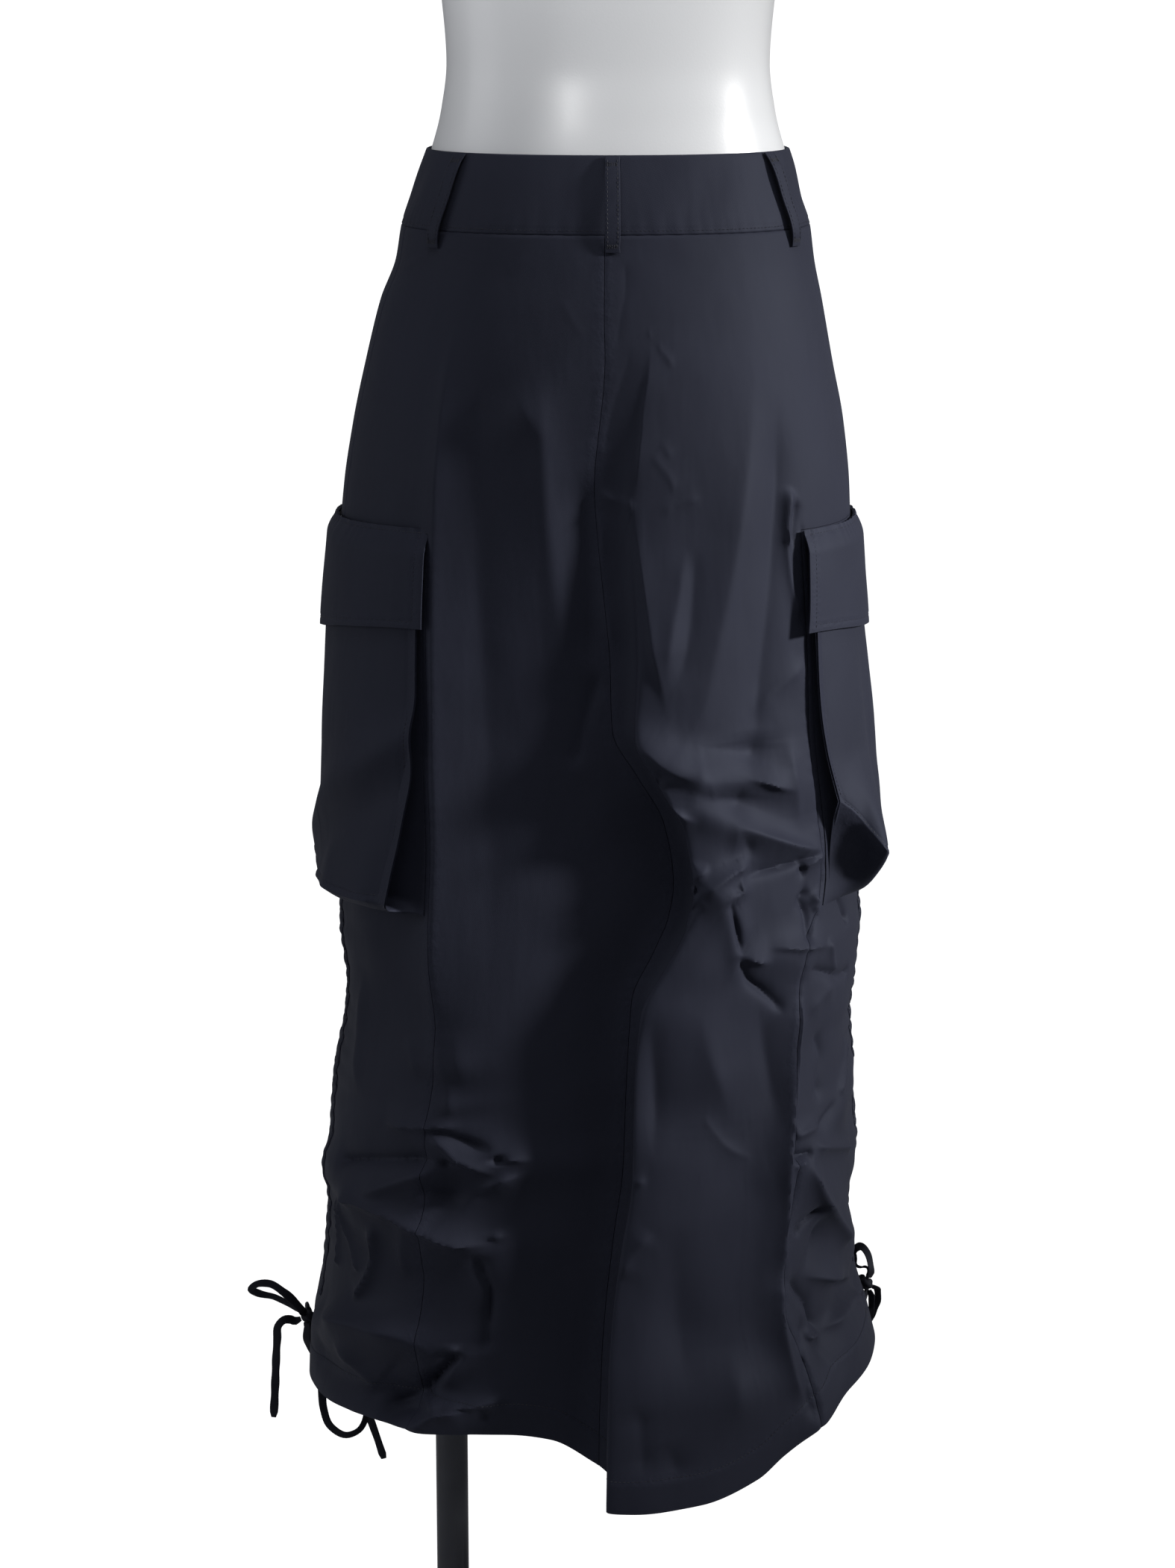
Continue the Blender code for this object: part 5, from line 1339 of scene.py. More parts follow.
# %% Flaps
FLAP_TOP, FLAP_WALL = 250.0, 2.0
FLAP_WIDTH, FLAP_HEIGHT = 186.0, 80.0
FLAP_STITCHES, FLAP_SEAM = 5.5, 3.5  # stitching from the pressed edges and from the sewn top
FLAP_OVERHANG = {"left": 0.016, "right": 0.030}  # share of the pocket's width
FLAP_LEAN = {"left": 0.0, "right": 0.0060}  # turns that the back edge runs out as it goes down
FLAP_EDGES = {  # drops of the top at the back and the front, then of the lower edge
    "left": (247.0, 251.0, 314.0, 331.0),
    "right": (250.0, 251.0, 319.0, 332.0),
}


def flap_place(side, across, down):
    """(column, drop, out) at a share across a flap, from its back edge, and a share down it."""
    pocket = POCKETS[side]
    width = pocket["front"] - pocket["back"]
    top_back, top_front, low_back, low_front = FLAP_EDGES[side]
    front = smooth_step(across, 0, 0.85)
    top = top_back + (top_front - top_back) * front
    low = low_back + (low_front - low_back) * front
    drop = top + (low - top) * down
    beyond = FLAP_OVERHANG[side]
    column = pocket["back"] + width * (across * (1 + 2 * beyond) - beyond)
    column = column - FLAP_LEAN[side] * (1 - across) * down
    over = smooth_step(drop, FLAP_TOP - 4, POCKET_TOP)
    over_pocket = LAID_GAP + 2.2 + pocket_out(side, np.clip(across, 0, 1), np.maximum(drop, POCKET_TOP))
    return np.broadcast_arrays(column, drop, LAID_GAP + over * (over_pocket - LAID_GAP))


def flap_relief(across, down):
    """Puckers along the sewn top, a slack middle and pressed edges."""
    edge = to_edge(across, down, FLAP_WIDTH, FLAP_HEIGHT)
    from_top = down * FLAP_HEIGHT
    puckers = 0.5 * np.sin(across * FLAP_WIDTH / 1.7 + 3 * np.sin(across * 21)) * np.exp(-from_top / 7)
    slack = 0.8 * np.sin(3.1 * across + 1) * np.sin(math.pi * down)
    slack = slack + 0.5 * np.sin(17 * across + 3 * down) * down
    groove = -0.45 * hill(edge - FLAP_STITCHES, 1.1) - 0.5 * hill(from_top - FLAP_SEAM, 1.1)
    return puckers + slack + groove


for side in ("left", "right"):
    across, down = np.linspace(0, 1, 117)[None, :], np.linspace(0, 1, 53)[:, None]
    column, drop, out = flap_place(side, across, down)
    outer = on_cloth(column, drop, out + FLAP_WALL + flap_relief(across, down), 0.0)
    normal = grid_normals(outer) * POCKETS[side]["hand"]
    edge = to_edge(across, down, FLAP_WIDTH, FLAP_HEIGHT)
    thick = FLAP_WALL * (0.55 + 0.45 * smooth_step(edge, 0, 2.2))[..., None]
    sewn = np.clip(hill(edge - 5, 4) + hill(down * FLAP_HEIGHT, 7), 0, 1)
    cloth_piece(f"pocket_flap_{side}", outer, normal, thick, cloth_uv(column, drop, TURN_LENGTH), sewn)

# %% [markdown]
# ## The gathered casings
# A casing is a strip stitched down along both edges and its middle, which makes two channels for
# the drawstring.  Drawn up, each channel puffs out between its stitch lines and breaks into a
# gather every centimetre.  The height is a bulge across each channel times a cosine down it.

# %% Casings
CASING_WIDTH = 30.0
for side, (middle, top, bottom) in CASINGS.items():
    gathers = round((bottom - top) / GATHER_PITCH)
    row = np.linspace(top, bottom, gathers * 8 + 1)[:, None]
    across = np.linspace(-1, 1, 27)[None, :]
    drop = hung(middle, row)
    phase = gather_phase(middle, top, drop)
    channel = np.abs(np.sin(math.pi * across)) ** 0.7
    lean = 0.9 * np.sign(across) + 0.5 * np.sin(drop / 17)
    gather = (0.5 - 0.5 * np.cos(phase + lean)) ** 0.8
    height = channel * (0.4 + 0.8 * gather * (1 + 0.4 * np.sin(phase * 0.37 + 1.3)))
    stitched = 0.25 * np.abs(np.sin(phase / 2 + 0.6)) * (1 - channel)
    column = middle + across * (CASING_WIDTH / 2 - 0.8 * gather) / TURN_LENGTH
    lift = 0.35 + 1.0 * (1 - across**8)  # the edges are stitched down into the panel
    outer = on_cloth(column, drop, lift + height + stitched)
    sewn = 0.6 * hill(np.abs(across) - 1, 0.15) + 0.6 * hill(across, 0.15)
    uv = cloth_uv(column, drop, TURN_LENGTH)
    cloth_piece(f"casing_{side}", outer, grid_normals(outer), CLOTH_WALL, uv, sewn)

# %% [markdown]
# ## The dress form
# The form is one smooth torso with no limbs.  Its rings follow a table of half sizes.  At the
# waistband it is the inside of the band, less a small clearance, since it carries the skirt there,
# and below that it stays well inside the cloth.  The neck ends in a low domed cap.

# %% Dress form
FORM = table(
    "drop left right back front",
    [
        (-502, 49, 49, 52, 50), (-475, 51, 51, 55, 49), (-452, 60, 60, 62, 48), (-434, 88, 88, 71, 50),
        (-412, 128, 128, 82, 60), (-384, 153, 153, 92, 76), (-345, 162, 162, 98, 96),
        (-295, 156, 156, 99, 116), (-240, 145, 145, 95, 128), (-190, 134, 134, 88, 120),
        (-140, 121, 121, 80, 101), (-100, 113, 113, 76, 90), (-57, 110, 110, 74, 84),
        (-25, 114, 114, 77, 82), (0, 120.6, 120.6, 81.6, 82.6), (12, 125, 124.5, 84.6, 84.6),
        (32, 131.5, 129.5, 89.6, 87.6), (52, 138, 135, 94.6, 90.6), (75, 141, 137, 99, 92),
        (103, 149, 141, 105, 95), (145, 158, 147, 112, 99), (186, 161, 151, 114, 101),
        (228, 161, 151, 111, 101), (270, 157, 148, 104, 97), (300, 153, 145, 98, 92),
        (312, 148, 140, 92, 87),
    ],
)


def closing(ring_points, steps):
    """Smaller rings that close a form's end: each is a share of the ring, lifted by so much."""
    middle = ring_points.mean(axis=0)
    return [middle + (ring_points - middle) * share + (0, 0, lift) for share, lift in steps]


form_turn = np.linspace(0, 1, 120, endpoint=False)[None, :]
form_drop = np.concatenate([np.linspace(-502, 52, 110), np.linspace(58, 312, 40)])[:, None]
form_turn, form_drop = same_shape(form_turn, form_drop)
form_rings = np.stack([*ring(form_turn, form_drop, FORM), -form_drop], axis=-1)
cap = closing(form_rings[0], ((0.05, 3.0), (0.5, 2.7), (0.85, 2.0), (0.96, 1.2)))
base = closing(form_rings[-1], ((0.985, -2.0), (0.9, -3.4), (0.5, -4.0), (0.05, -4.0)))
piece(tube("dress_form_shell", np.concatenate([cap, form_rings, base])), "form_shell", "dress_form")

# %% [markdown]
# ## The stand
# A plain tube carries the form off its centre.  A collar clamps it under the form, and a hub
# and a heavy disc hold it at the floor.  All four are turned shapes: an outline of radius and
# height is carried once round an upright axis.  Small chamfers catch the light at their rims.

# %% Stand
POLE_X, POLE_RADIUS = -116.0, 12.0
BASE_RADIUS, BASE_THICKNESS = 180.0, 8.0
POLE_TOP = WAIST_TOP - 312.0 - 4.3
POLE_FOOT = BASE_THICKNESS + 0.3


def turned(name, outline, start, middle_x, sides, closed=False):
    """A shape turned about an upright axis, from an outline of (radius, height) beside its start."""
    outline = np.array(outline, float) + start
    radius, height, angle = same_shape(outline[:, :1], outline[:, 1:] - WAIST_TOP, once_round(sides))
    rings = np.stack([middle_x + radius * np.cos(angle), radius * np.sin(angle), height], axis=-1)
    return tube(name, rings, closed=closed)


top, foot = (POLE_RADIUS, POLE_TOP), (POLE_RADIUS, POLE_FOOT)
length = POLE_TOP - POLE_FOOT
tube_outline = [(-1, length), (0, length - 1)]
tube_outline += [(0, height) for height in np.linspace(length - 20, 20, 24)] + [(0, 1), (-1, 0)]
collar_outline = [
    (0.3, 0), (9, 0), (10, -1), (10, -12), (9.6, -12.4), (9.6, -13.4), (10, -13.8), (10, -21),
    (9, -24), (7, -27.4), (6, -28), (0.3, -28),
]
hub_outline = [
    (0.3, 0), (0.3, 25.6), (0.8, 26), (7, 26), (8.4, 25), (9.6, 22), (12, 14), (16, 6), (20, 1), (20, 0),
]
disc_outline = [
    (-108, 0), (-1, 0), (0, 1), (0, BASE_THICKNESS - 2.4), (-0.8, BASE_THICKNESS - 0.9),
    (-2.4, BASE_THICKNESS), (-36, BASE_THICKNESS), (-108, BASE_THICKNESS),
]
stand = (
    (turned("stand_pole_tube", tube_outline, foot, POLE_X, 64), "stand_pole"),
    (turned("form_collar_ring", collar_outline, top, POLE_X, 72, closed=True), "form_collar"),
    (turned("base_hub_ring", hub_outline, foot, POLE_X, 72, closed=True), "base_hub"),
    (turned("base_disc_plate", disc_outline, (BASE_RADIUS, 0), 0.0, 144), "base_disc"),
)
for made, solid in stand:
    piece(made, "stand_metal", solid)

# %% [markdown]
# ## The stitching
# A stitch is a short thread that dips into the cloth at both ends.  Each is a slim four-sided
# grain with pointed ends.  A sewn line is a row of places on the cloth; stitches are laid along it at
# an even pitch by moving one grain to every place at once, with arrays and no loop over points.

# %% Stitches along a line
STITCH_PITCH, STITCH_LENGTH, THREAD = 3.0, 2.3, 0.5
FOUR = ((1, 0), (0, 1), (-1, 0), (0, -1))
GRAIN = np.array(  # along, across and above the cloth, in half lengths and half threads
    [(-1, 0, -0.9)] + [(along, *way) for along in (-0.6, 0.6) for way in FOUR] + [(1, 0, -0.9)]
)
SIDES = [(k, (k + 1) % 4) for k in range(4)]
GRAIN_QUADS = np.array([(1 + k, 1 + after, 5 + after, 5 + k) for k, after in SIDES])
GRAIN_ENDS = np.array(
    [(0, 1 + after, 1 + k) for k, after in SIDES] + [(9, 5 + k, 5 + after) for k, after in SIDES]
)


def grains_along(points, normals, pitch=STITCH_PITCH, length=STITCH_LENGTH, thread=THREAD):
    """Points of every stitch on one sewn line, as (stitches, 10, 3)."""
    gone = distances(points)
    at = np.arange(pitch / 2, gone[-1] - length / 2, pitch)

    def place(s, values):
        """The values at distances along the line."""
        return np.stack([np.interp(s, gone, values[:, k]) for k in range(3)], axis=-1)

    start, end = place(at - length / 2, points), place(at + length / 2, points)
    along = (end - start) / 2
    up = unit(place(at, normals))
    across = unit(np.cross(along, up))
    middle = (start + end) / 2
    return (
        middle[:, None]
        + along[:, None] * GRAIN[None, :, :1]
        + across[:, None] * GRAIN[None, :, 1:2] * thread / 2
        + up[:, None] * (GRAIN[None, :, 2:] * thread / 2 + 0.12)
    )


def stitching(name, lines):
    """One joined mesh of all the stitches on several sewn lines."""
    grains = np.concatenate(lines)
    first = (np.arange(len(grains)) * len(GRAIN))[:, None, None]
    faces = [(GRAIN_QUADS[None] + first).reshape(-1, 4), (GRAIN_ENDS[None] + first).reshape(-1, 3)]
    made = make_mesh(name, grains.reshape(-1, 3), faces)
    print(f"{name}: {len(grains)} stitches")
    piece(made, "cloth")


def cloth_stitches(column, drop, out, creased=1.0, moved=0.0):
    """Stitches along a line on the cloth, moved as far as the piece that they hold."""
    points = on_cloth(column, drop, out, creased)
    return grains_along(points + moved, cloth_normals(column, drop, creased))


def band_stitches(turn, drop, out, *sizes):
    """Stitches along a line on the waistband, with their own pitch, length and thread if given."""
    points = on_band(turn, drop, out)
    return grains_along(points, on_band(turn, drop, out + 1.0) - points, *sizes)


# %% Sewn lines of the waist
turn = np.linspace(FRONT_LEFT + 0.004, FRONT_RIGHT + BAND_END - 0.004, 900)
lift = lap_lift(turn) + band_waves(turn, BAND_STITCHES)
waist_lines = [band_stitches(turn, BAND_STITCHES, lift)]
LOOP_EDGE = (STITCH_PITCH, STITCH_LENGTH, 0.42)  # pitch, length and thread of its stitches
BAR_TACK, BUTTONHOLE = (1.5, 1.35, 0.5), (0.9, 0.8, 0.7)
for name in BELT_LOOPS:
    for across in (-LOOP_STITCHES, LOOP_STITCHES):
        turn, drop, lift = loop_place(name, np.linspace(0.03, 0.97, 40), across)
        waist_lines.append(band_stitches(turn, drop, lift + LOOP_WALL - 0.2, *LOOP_EDGE))
    for tack in (0.075, 0.085, 0.095, 0.105, 0.925, 0.935, 0.945, 0.955):
        turn, drop, lift = loop_place(name, tack, np.linspace(-0.9, 0.9, 12))
        waist_lines.append(band_stitches(turn, drop, lift + LOOP_WALL - 0.3, *BAR_TACK))
slit = np.linspace(0, 2 * math.pi, 60)
slit_turn, slit_drop = button_turn + 0.0135 * np.cos(slit), BAND_HEIGHT / 2 + 1.6 * np.sin(slit)
waist_lines.append(band_stitches(slit_turn, slit_drop, BAND_LIFT + 0.2, *BUTTONHOLE))
stitching("waist_stitching", waist_lines)

# %% Sewn lines of the panels
column = np.linspace(FRONT_LEFT, FRONT_RIGHT, 1200)
hem_lines = [cloth_stitches(column, hem_drop(column) - HEM_STITCHES, 0.1)]
down = np.linspace(FLY_TOP + 2, FLY_BOTTOM - 0.4, 160)
for inset in (0.0035, 0.0085):
    reach = np.clip(fly_reach(down) - inset, 0.0, 1)
    hem_lines.append(cloth_stitches(FLY_EDGE - reach, down, LAID_GAP + CLOTH_WALL + 0.1))
for middle, top, bottom in CASINGS.values():
    drop = hung(middle, np.linspace(top + 2, bottom - 2, 200))
    phase = gather_phase(middle, top, drop)
    for across in (-0.93, 0.0, 0.93):
        out = 1.35 - 0.5 * abs(across) + 0.25 * np.abs(np.sin(phase / 2 + 0.6))
        hem_lines.append(cloth_stitches(middle + across * 14.6 / TURN_LENGTH, drop, out))
stitching("panel_stitching", hem_lines)

# %% Sewn lines of the pockets
FACE_STITCHES = 4.5  # from the edges of a pocket's face
share = np.linspace(0.03, 0.97, 120)
flap_side, face_side = FLAP_STITCHES / FLAP_WIDTH, FACE_STITCHES / FACE_WIDTH
flap_foot, flap_seam = 1 - FLAP_STITCHES / FLAP_HEIGHT, FLAP_SEAM / FLAP_HEIGHT
face_foot = 1 - FACE_STITCHES / FACE_HEIGHT
flap_ways = ((share, flap_foot), (flap_side, share), (1 - flap_side, share), (share, flap_seam))
face_ways = ((face_side, share), (1 - face_side, share), (share, face_foot))
pocket_lines = []
for side in ("left", "right"):
    for across, down in flap_ways:
        column, drop, out = flap_place(side, across, down)
        out = out + FLAP_WALL + flap_relief(across, down)
        pocket_lines.append(cloth_stitches(column, drop, out, 0.0))
    for across, down in face_ways:
        column, drop, out = pocket_place(side, across, 1.0, down, 1.0)
        out = out + face_relief(side, across, down)
        swung = bag_swing(side, across, down, 1.0)
        pocket_lines.append(cloth_stitches(column, drop, out, 0.0, swung))
stitching("pocket_stitching", pocket_lines)

# %% [markdown]
# ## Surface patterns
# Three effects are shared by several materials, so each is a node group with named sockets: the
# weave of the cloth, a fine crumple with puckers where it is sewn, and a slow mottle of colour.
# A group puts out heights and masks only; the shader itself stays in the material.


# %% Node groups
def new_group(name, inputs, outputs):
    """An empty node group with sockets, its input node and its output node."""
    group = bpy.data.node_groups.new(name, "ShaderNodeTree")
    for socket, kind, value in inputs:
        made = group.interface.new_socket(socket, in_out="INPUT", socket_type=kind)
        if value is not None:
            made.default_value = value
    for socket, kind in outputs:
        group.interface.new_socket(socket, in_out="OUTPUT", socket_type=kind)
    return group, group.nodes.new("NodeGroupInput"), group.nodes.new("NodeGroupOutput")


def math_node(tree, operation, *values):
    """A Math node; each value is a number or another node's output socket."""
    node = tree.nodes.new("ShaderNodeMath")
    node.operation = operation
    for socket, value in zip(node.inputs, values):
        if isinstance(value, (int, float)):
            socket.default_value = value
        else:
            tree.links.new(value, socket)
    return node.outputs[0]


def scaled(tree, value, by, plus):
    """A value times another, plus a third."""
    return math_node(tree, "MULTIPLY_ADD", value, by, plus)


def noise_node(tree, vector, scale, detail=2.0, roughness=0.5):
    """A Noise texture's mask at a scale in lumps per metre."""
    node = tree.nodes.new("ShaderNodeTexNoise")
    node.inputs["Scale"].default_value = scale
    node.inputs["Detail"].default_value = detail
    node.inputs["Roughness"].default_value = roughness
    tree.links.new(vector, node.inputs["Vector"])
    return node.outputs["Fac"]


weave, given, put = new_group(
    "plain weave",
    [("Vector", "NodeSocketVector", None), ("Threads", "NodeSocketFloat", 2600.0)],
    [("Height", "NodeSocketFloat"), ("Over", "NodeSocketFloat")],
)
parts = weave.nodes.new("ShaderNodeSeparateXYZ")
weave.links.new(given.outputs["Vector"], parts.inputs[0])
turns = math_node(weave, "MULTIPLY", given.outputs["Threads"], math.pi)  # threads in a metre
warp = math_node(weave, "SINE", math_node(weave, "MULTIPLY", parts.outputs["X"], turns))
weft = math_node(weave, "SINE", math_node(weave, "MULTIPLY", parts.outputs["Y"], turns))
over = math_node(weave, "MULTIPLY", warp, weft)
weave.links.new(scaled(weave, over, 0.5, 0.5), put.inputs["Over"])
warp_high, weft_high = math_node(weave, "ABSOLUTE", warp), math_node(weave, "ABSOLUTE", weft)
thread_high = math_node(weave, "MAXIMUM", warp_high, weft_high)
weave.links.new(scaled(weave, over, 0.4, thread_high), put.inputs["Height"])

crumple, given, put = new_group(
    "crumple",
    [("Vector", "NodeSocketVector", None), ("Sewn", "NodeSocketFloat", 0.0)],
    [("Height", "NodeSocketFloat")],
)
drawn_out = crumple.nodes.new("ShaderNodeVectorMath")
drawn_out.operation = "MULTIPLY"
drawn_out.inputs[1].default_value = (1, 1, 0.3)  # streaks that run down the cloth
crumple.links.new(given.outputs["Vector"], drawn_out.inputs[0])
slow = noise_node(crumple, drawn_out.outputs[0], 60.0, 2.0, 0.5)
fine = noise_node(crumple, given.outputs["Vector"], 300.0, 1.0)
puckers = math_node(crumple, "MULTIPLY", fine, given.outputs["Sewn"])
crumple.links.new(scaled(crumple, puckers, 0.7, slow), put.inputs["Height"])

mottle, given, put = new_group(
    "mottle",
    [("Vector", "NodeSocketVector", None), ("Scale", "NodeSocketFloat", 14.0)],
    [("Mask", "NodeSocketFloat")],
)
patches = mottle.nodes.new("ShaderNodeTexNoise")
patches.inputs["Detail"].default_value = 4.0
mottle.links.new(given.outputs["Vector"], patches.inputs["Vector"])
mottle.links.new(given.outputs["Scale"], patches.inputs["Scale"])
mottle.links.new(patches.outputs["Fac"], put.inputs["Mask"])
print("groups:", ", ".join(group.name for group in bpy.data.node_groups))

# %% [markdown]
# ## The finishes
# The cloth is a thin, close cotton with a faint bluish sheen: nearly black in shade, slate where
# the light grazes it.  Its roughness is middling, so broad folds shine softly.


# %% Parts of a material
def new_material(name, colour, roughness, sockets=None):
    """A Principled material and its shader; constants are set on the shader's own sockets."""
    made = bpy.data.materials.new(name)
    made.use_nodes = True
    shader = made.node_tree.nodes["Principled BSDF"]
    shader.inputs["Base Color"].default_value = (*colour, 1)
    shader.inputs["Roughness"].default_value = roughness
    for socket, value in (sockets or {}).items():
        shader.inputs[socket].default_value = value
    return made, made.node_tree, shader


def use_group(tree, group, **inputs):
    """A node group in a material; each input is a number or another node's output socket."""
    node = tree.nodes.new("ShaderNodeGroup")
    node.node_tree = group
    for socket, value in inputs.items():
        target = node.inputs[socket]
        if isinstance(value, (int, float)):
            target.default_value = value
        else:
            tree.links.new(value, target)
    return node


def two_tones(tree, mask, dark, light):
    """A colour between two, by a mask."""
    mix = tree.nodes.new("ShaderNodeMix")
    mix.data_type = "RGBA"
    mix.inputs["A"].default_value = (*dark, 1)
    mix.inputs["B"].default_value = (*light, 1)
    tree.links.new(mask, mix.inputs["Factor"])
    return mix.outputs["Result"]


def bump_into(tree, shader, height, distance, strength=1.0, below=None):
    """Bumps of a height in metres on the shader's Normal, over the bumps below them."""
    node = tree.nodes.new("ShaderNodeBump")
    node.inputs["Distance"].default_value = distance
    node.inputs["Strength"].default_value = strength
    tree.links.new(height, node.inputs["Height"])
    if below is not None:
        tree.links.new(below, node.inputs["Normal"])
    tree.links.new(node.outputs["Normal"], shader.inputs["Normal"])
    return node.outputs["Normal"]


def coordinates(tree, output):
    """Places on the piece: Object in metres, or UV on the cloth laid flat."""
    return tree.nodes.new("ShaderNodeTexCoord").outputs[output]


# %% Soft finishes
CLOTH_DARK, CLOTH_LIGHT = (0.0180, 0.0190, 0.0290), (0.0235, 0.0252, 0.0405)
CLOTH_GLOSS = {
    "Specular IOR Level": 0.18,
    "Specular Tint": (0.7, 0.78, 1, 1),
    "Sheen Weight": 0.02,
    "Sheen Tint": (0.6, 0.7, 1, 1),
}


def cloth_material(name, dark, light, has_uv):
    """Woven cloth: paler where threads lie over and where it is sewn, on a slow mottle."""
    made, tree, shader = new_material(name, light, 0.62, CLOTH_GLOSS)
    place = coordinates(tree, "Object")
    sewn = tree.nodes.new("ShaderNodeAttribute")
    sewn.attribute_name = "sewn"
    patches = use_group(tree, mottle, Vector=place, Scale=11.0).outputs["Mask"]
    lie = coordinates(tree, "UV") if has_uv else place
    threads = use_group(tree, weave, Vector=lie, Threads=2600.0)
    shade = scaled(tree, threads.outputs["Over"], 0.25, scaled(tree, patches, 0.8, -0.1))
    worn = scaled(tree, sewn.outputs["Fac"], 0.22, shade)
    tree.links.new(two_tones(tree, worn, dark, light), shader.inputs["Base Color"])
    tree.links.new(scaled(tree, patches, 0.12, 0.56), shader.inputs["Roughness"])
    soft = use_group(tree, crumple, Vector=place, Sewn=sewn.outputs["Fac"])
    below = bump_into(tree, shader, soft.outputs["Height"], 0.0007, 0.8)
    bump_into(tree, shader, threads.outputs["Height"], 0.00006, 0.6, below)
    return made


finishes = {
    "cloth": cloth_material("close_cotton", CLOTH_DARK, CLOTH_LIGHT, True),
    "cloth_plain": cloth_material("close_cotton_small", CLOTH_DARK, CLOTH_LIGHT, False),
    "tie_ribbon": cloth_material("tie_tape", (0.011, 0.011, 0.014), (0.017, 0.0175, 0.023), False),
}
finishes["thread"], tree, shader = new_material(
    "sewing_thread", (0.022, 0.023, 0.033), 0.5, {"Specular IOR Level": 0.3}
)
grain = noise_node(tree, coordinates(tree, "Object"), 900.0)
thread_tone = two_tones(tree, grain, (0.014, 0.015, 0.022), (0.027, 0.029, 0.042))
tree.links.new(thread_tone, shader.inputs["Base Color"])
print("soft finishes:", ", ".join(finishes))


# %% Hard finishes
def hard_material(name, roughness, scale, dark, light, gloss=None, pores=None, sockets=None):
    """Two tones by a mottle, which may also vary the gloss (spread, least), and fine pores."""
    made, tree, shader = new_material(name, light, roughness, sockets)
    place = coordinates(tree, "Object")
    patches = use_group(tree, mottle, Vector=place, Scale=scale).outputs["Mask"]
    tree.links.new(two_tones(tree, patches, dark, light), shader.inputs["Base Color"])
    if gloss:
        tree.links.new(scaled(tree, patches, *gloss), shader.inputs["Roughness"])
    if pores:
        fineness, depth = pores
        bump_into(tree, shader, noise_node(tree, place, fineness, 1.0), depth, 0.5)
    return made


finishes["button"] = hard_material(
    "horn_button", 0.3, 260.0, (0.008, 0.008, 0.010), (0.030, 0.029, 0.030),
    sockets={"Coat Weight": 0.25, "Coat Roughness": 0.2},
)
finishes["form_shell"] = hard_material(
    "form_plastic", 0.34, 6.0, (0.74, 0.75, 0.77), (0.78, 0.79, 0.81), (0.14, 0.27), (700.0, 0.00008),
    {"Specular IOR Level": 0.5, "Coat Weight": 0.15, "Coat Roughness": 0.25},
)
finishes["stand_metal"] = hard_material(
    "stand_paint", 0.34, 22.0, (0.045, 0.047, 0.056), (0.085, 0.088, 0.10), (0.22, 0.24),
    (1400.0, 0.00005), {"Metallic": 0.85},
)
print("finishes:", ", ".join(finishes))

# %% Put the finishes on the pieces and tie them to the model
for name, (made, slot, solids) in pieces.items():
    finish = slot
    if name.endswith("stitching"):
        finish = "thread"
    elif slot == "cloth" and not made.data.uv_layers:
        finish = "cloth_plain"
    made.data.materials.append(finishes[finish])
    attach(made, "root")
    if solids:
        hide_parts(*solids)
print(len(pieces), "pieces ride on the model")

# %% [markdown]
# ## Lengths of the ties and areas of the cloth
# The ties are flat cords of a real length, and each cloth piece is a sheet cut to a flat size.
# Each tie's length is printed, and each piece's area beside the area of its cut.

for name, route in tie_routes.items():
    path = (route + (0, 0, WAIST_TOP)) * METRES
    length = float(distances(path)[-1])
    print(f"{name}: {length * 1000:.0f} mm")


def area_of(made):
    """Area of one face of a thin wall: half of all its faces."""
    size = np.zeros(len(made.data.polygons), np.float32)
    made.data.polygons.foreach_get("area", size)
    return float(size.sum()) / 2


SHEETS = {  # name: flat width and length in metres, area of the cut in square metres, held how, on what
    "waistband": (0.70, 0.060, 0.0415, "stretched", "dress_form"),
    "fly_placket": (0.040, 0.165, 0.0060, "stretched", "front_panel_right"),
    "back_panel_left": (0.22, 0.90, 0.134, "hung", "waistband"),
    "back_panel_right": (0.27, 0.92, 0.165, "hung", "waistband"),
    "side_panel_left": (0.30, 0.70, 0.200, "gathered", "back_panel_left"),
    "side_panel_right": (0.30, 0.70, 0.200, "gathered", "back_panel_right"),
    "front_panel_left": (0.33, 0.90, 0.180, "hung", "waistband"),
    "front_panel_right": (0.35, 0.90, 0.180, "hung", "waistband"),
    "pocket_left": (0.25, 0.28, 0.066, "stretched", "side_panel_left"),
    "pocket_right": (0.23, 0.26, 0.055, "stretched", "side_panel_right"),
    "pocket_flap_left": (0.19, 0.085, 0.0160, "hung", "side_panel_left"),
    "pocket_flap_right": (0.19, 0.085, 0.0160, "hung", "side_panel_right"),
    "casing_left": (0.030, 0.42, 0.0126, "gathered", "side_panel_left"),
    "casing_right": (0.030, 0.38, 0.0114, "gathered", "side_panel_right"),
}
for name in BELT_LOOPS:
    SHEETS[name] = (0.0125, 0.066, 0.000825, "stretched", "waistband")
for name, (width, length, area, held, support) in SHEETS.items():
    made = pieces[f"{name}_cloth"][0]
    print(f"{name}: {area_of(made):.5f} square metres, {area_of(made) / area:.2f} of its cut")
triangles = {
    name: len(made.data.loops) - 2 * len(made.data.polygons) for name, (made, _, _) in pieces.items()
}
print("triangles:", sum(triangles.values()), "the largest:", max(triangles, key=triangles.get))

# %% [markdown]
# ## Floor, light and background
# The stand is in a white studio.  A sheet of pale paper lies on the floor and sweeps up behind it.
# One soft light stands high on the right and is aimed at the knees, so the waist and the hem get
# less of it.  The pale surroundings fill the shadows: the right side of every fold is slate and
# the left side is nearly black.

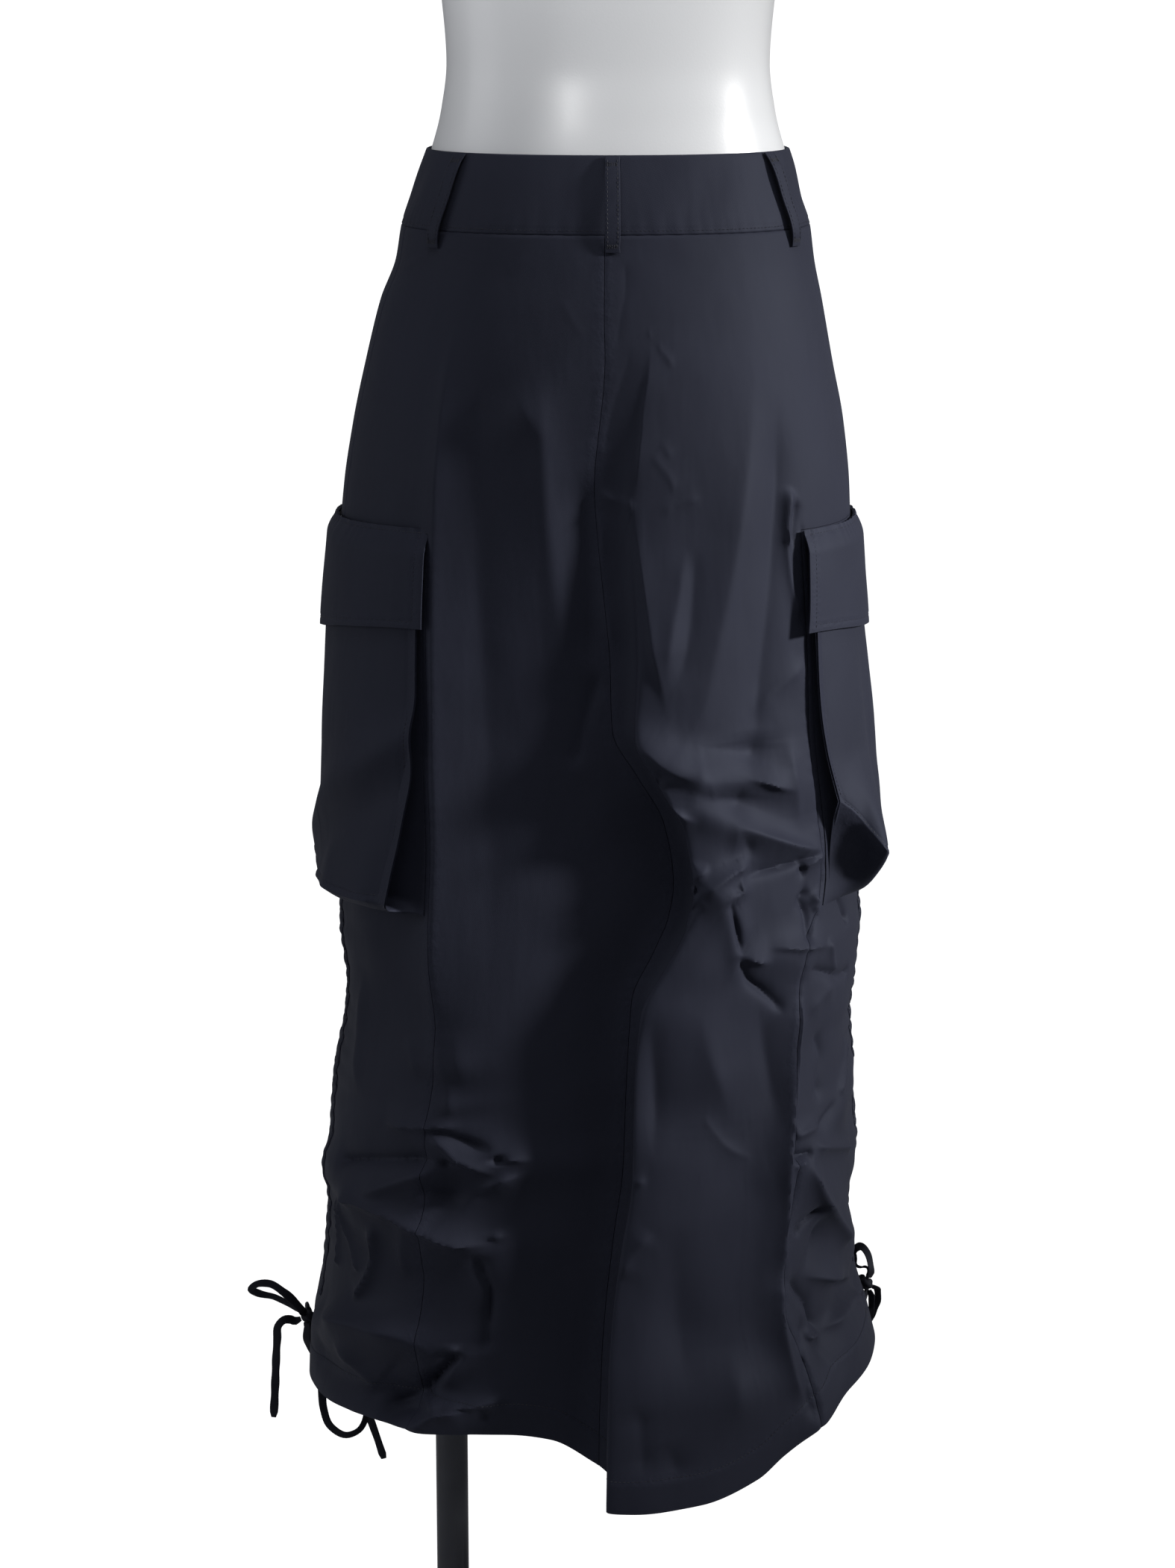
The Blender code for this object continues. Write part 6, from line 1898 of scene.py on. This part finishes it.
# %% Floor sweep
angle = np.linspace(0, math.pi / 2, 24)
sweep = np.concatenate([
    [(-6.0, 0.0)], np.stack([2.2 + 1.2 * np.sin(angle), 1.2 - 1.2 * np.cos(angle)], 1), [(3.4, 6.0)],
])
sweep_points = np.stack([
    np.stack([np.full(len(sweep), edge), *sweep.T], -1) for edge in (-6.0, 6.0)
], 1)
index = np.arange(len(sweep) * 2).reshape(-1, 2)
paper = bpy.data.meshes.new("paper_sweep")
paper.from_pydata(
    sweep_points.reshape(-1, 3).tolist(), [],
    np.stack([index[:-1, 0], index[:-1, 1], index[1:, 1], index[1:, 0]], -1).tolist(),
)
paper.shade_smooth()
floor = bpy.data.objects.new("paper_sweep", paper)
bpy.context.scene.collection.objects.link(floor)
paper_made, tree, shader = new_material("white_paper", (0.55, 0.55, 0.56), 0.9)
shader.inputs["Emission Color"].default_value = (1, 1, 1, 1)
seen = tree.nodes.new("ShaderNodeLightPath").outputs["Is Camera Ray"]
tree.links.new(scaled(tree, seen, 0.95, 0.02), shader.inputs["Emission Strength"])
paper.materials.append(paper_made)


# %% Lights
def aimed_light(name, kind, place, target, power, colour):
    """A light at a place, turned to face a target."""
    light = bpy.data.lights.new(name, kind)
    light.energy, light.color = power, colour
    made = bpy.data.objects.new(name, light)
    bpy.context.scene.collection.objects.link(made)
    made.location = place
    away = np.array(place, float) - np.array(target, float)
    flat = math.hypot(away[0], away[1])
    made.rotation_euler = (math.atan2(flat, away[2]), 0, math.atan2(away[0], -away[1]))
    return light


MIDDLE = (0.0, 0.0, 0.82)
window = aimed_light("window", "SPOT", (5.48, -1.4, 2.9), MIDDLE, 2400.0, (1.0, 0.99, 0.97))
ceiling = aimed_light("ceiling", "AREA", (0.3, -1.2, 4.4), MIDDLE, 40.0, (0.97, 0.98, 1.0))
left_fill = aimed_light("left_fill", "AREA", (-3.4, -0.9, 1.5), MIDDLE, 20.0, (0.96, 0.97, 1.0))
form_spot = aimed_light("form_spot", "SPOT", (-0.7, -2.7, 1.9), (0, 0, 1.46), 105.0, (1.0, 1.0, 1.0))
window.spot_size, window.spot_blend, window.shadow_soft_size = math.radians(13), 1.0, 0.45
ceiling.size, left_fill.size = 2.4, 2.0
form_spot.spot_size, form_spot.spot_blend, form_spot.shadow_soft_size = math.radians(12), 0.4, 0.1
world = bpy.data.worlds.new("studio")
bpy.context.scene.world = world
world.use_nodes = True
world.node_tree.nodes["Background"].inputs["Color"].default_value = (0.95, 0.97, 1.0, 1)
world.node_tree.nodes["Background"].inputs["Strength"].default_value = 0.115
bpy.context.scene.view_settings.view_transform = "Standard"
bpy.context.scene.view_settings.look = "None"

# %% [markdown]
# ## The end
# The view layer is brought up to date.

# %% The end
bpy.context.view_layer.update()
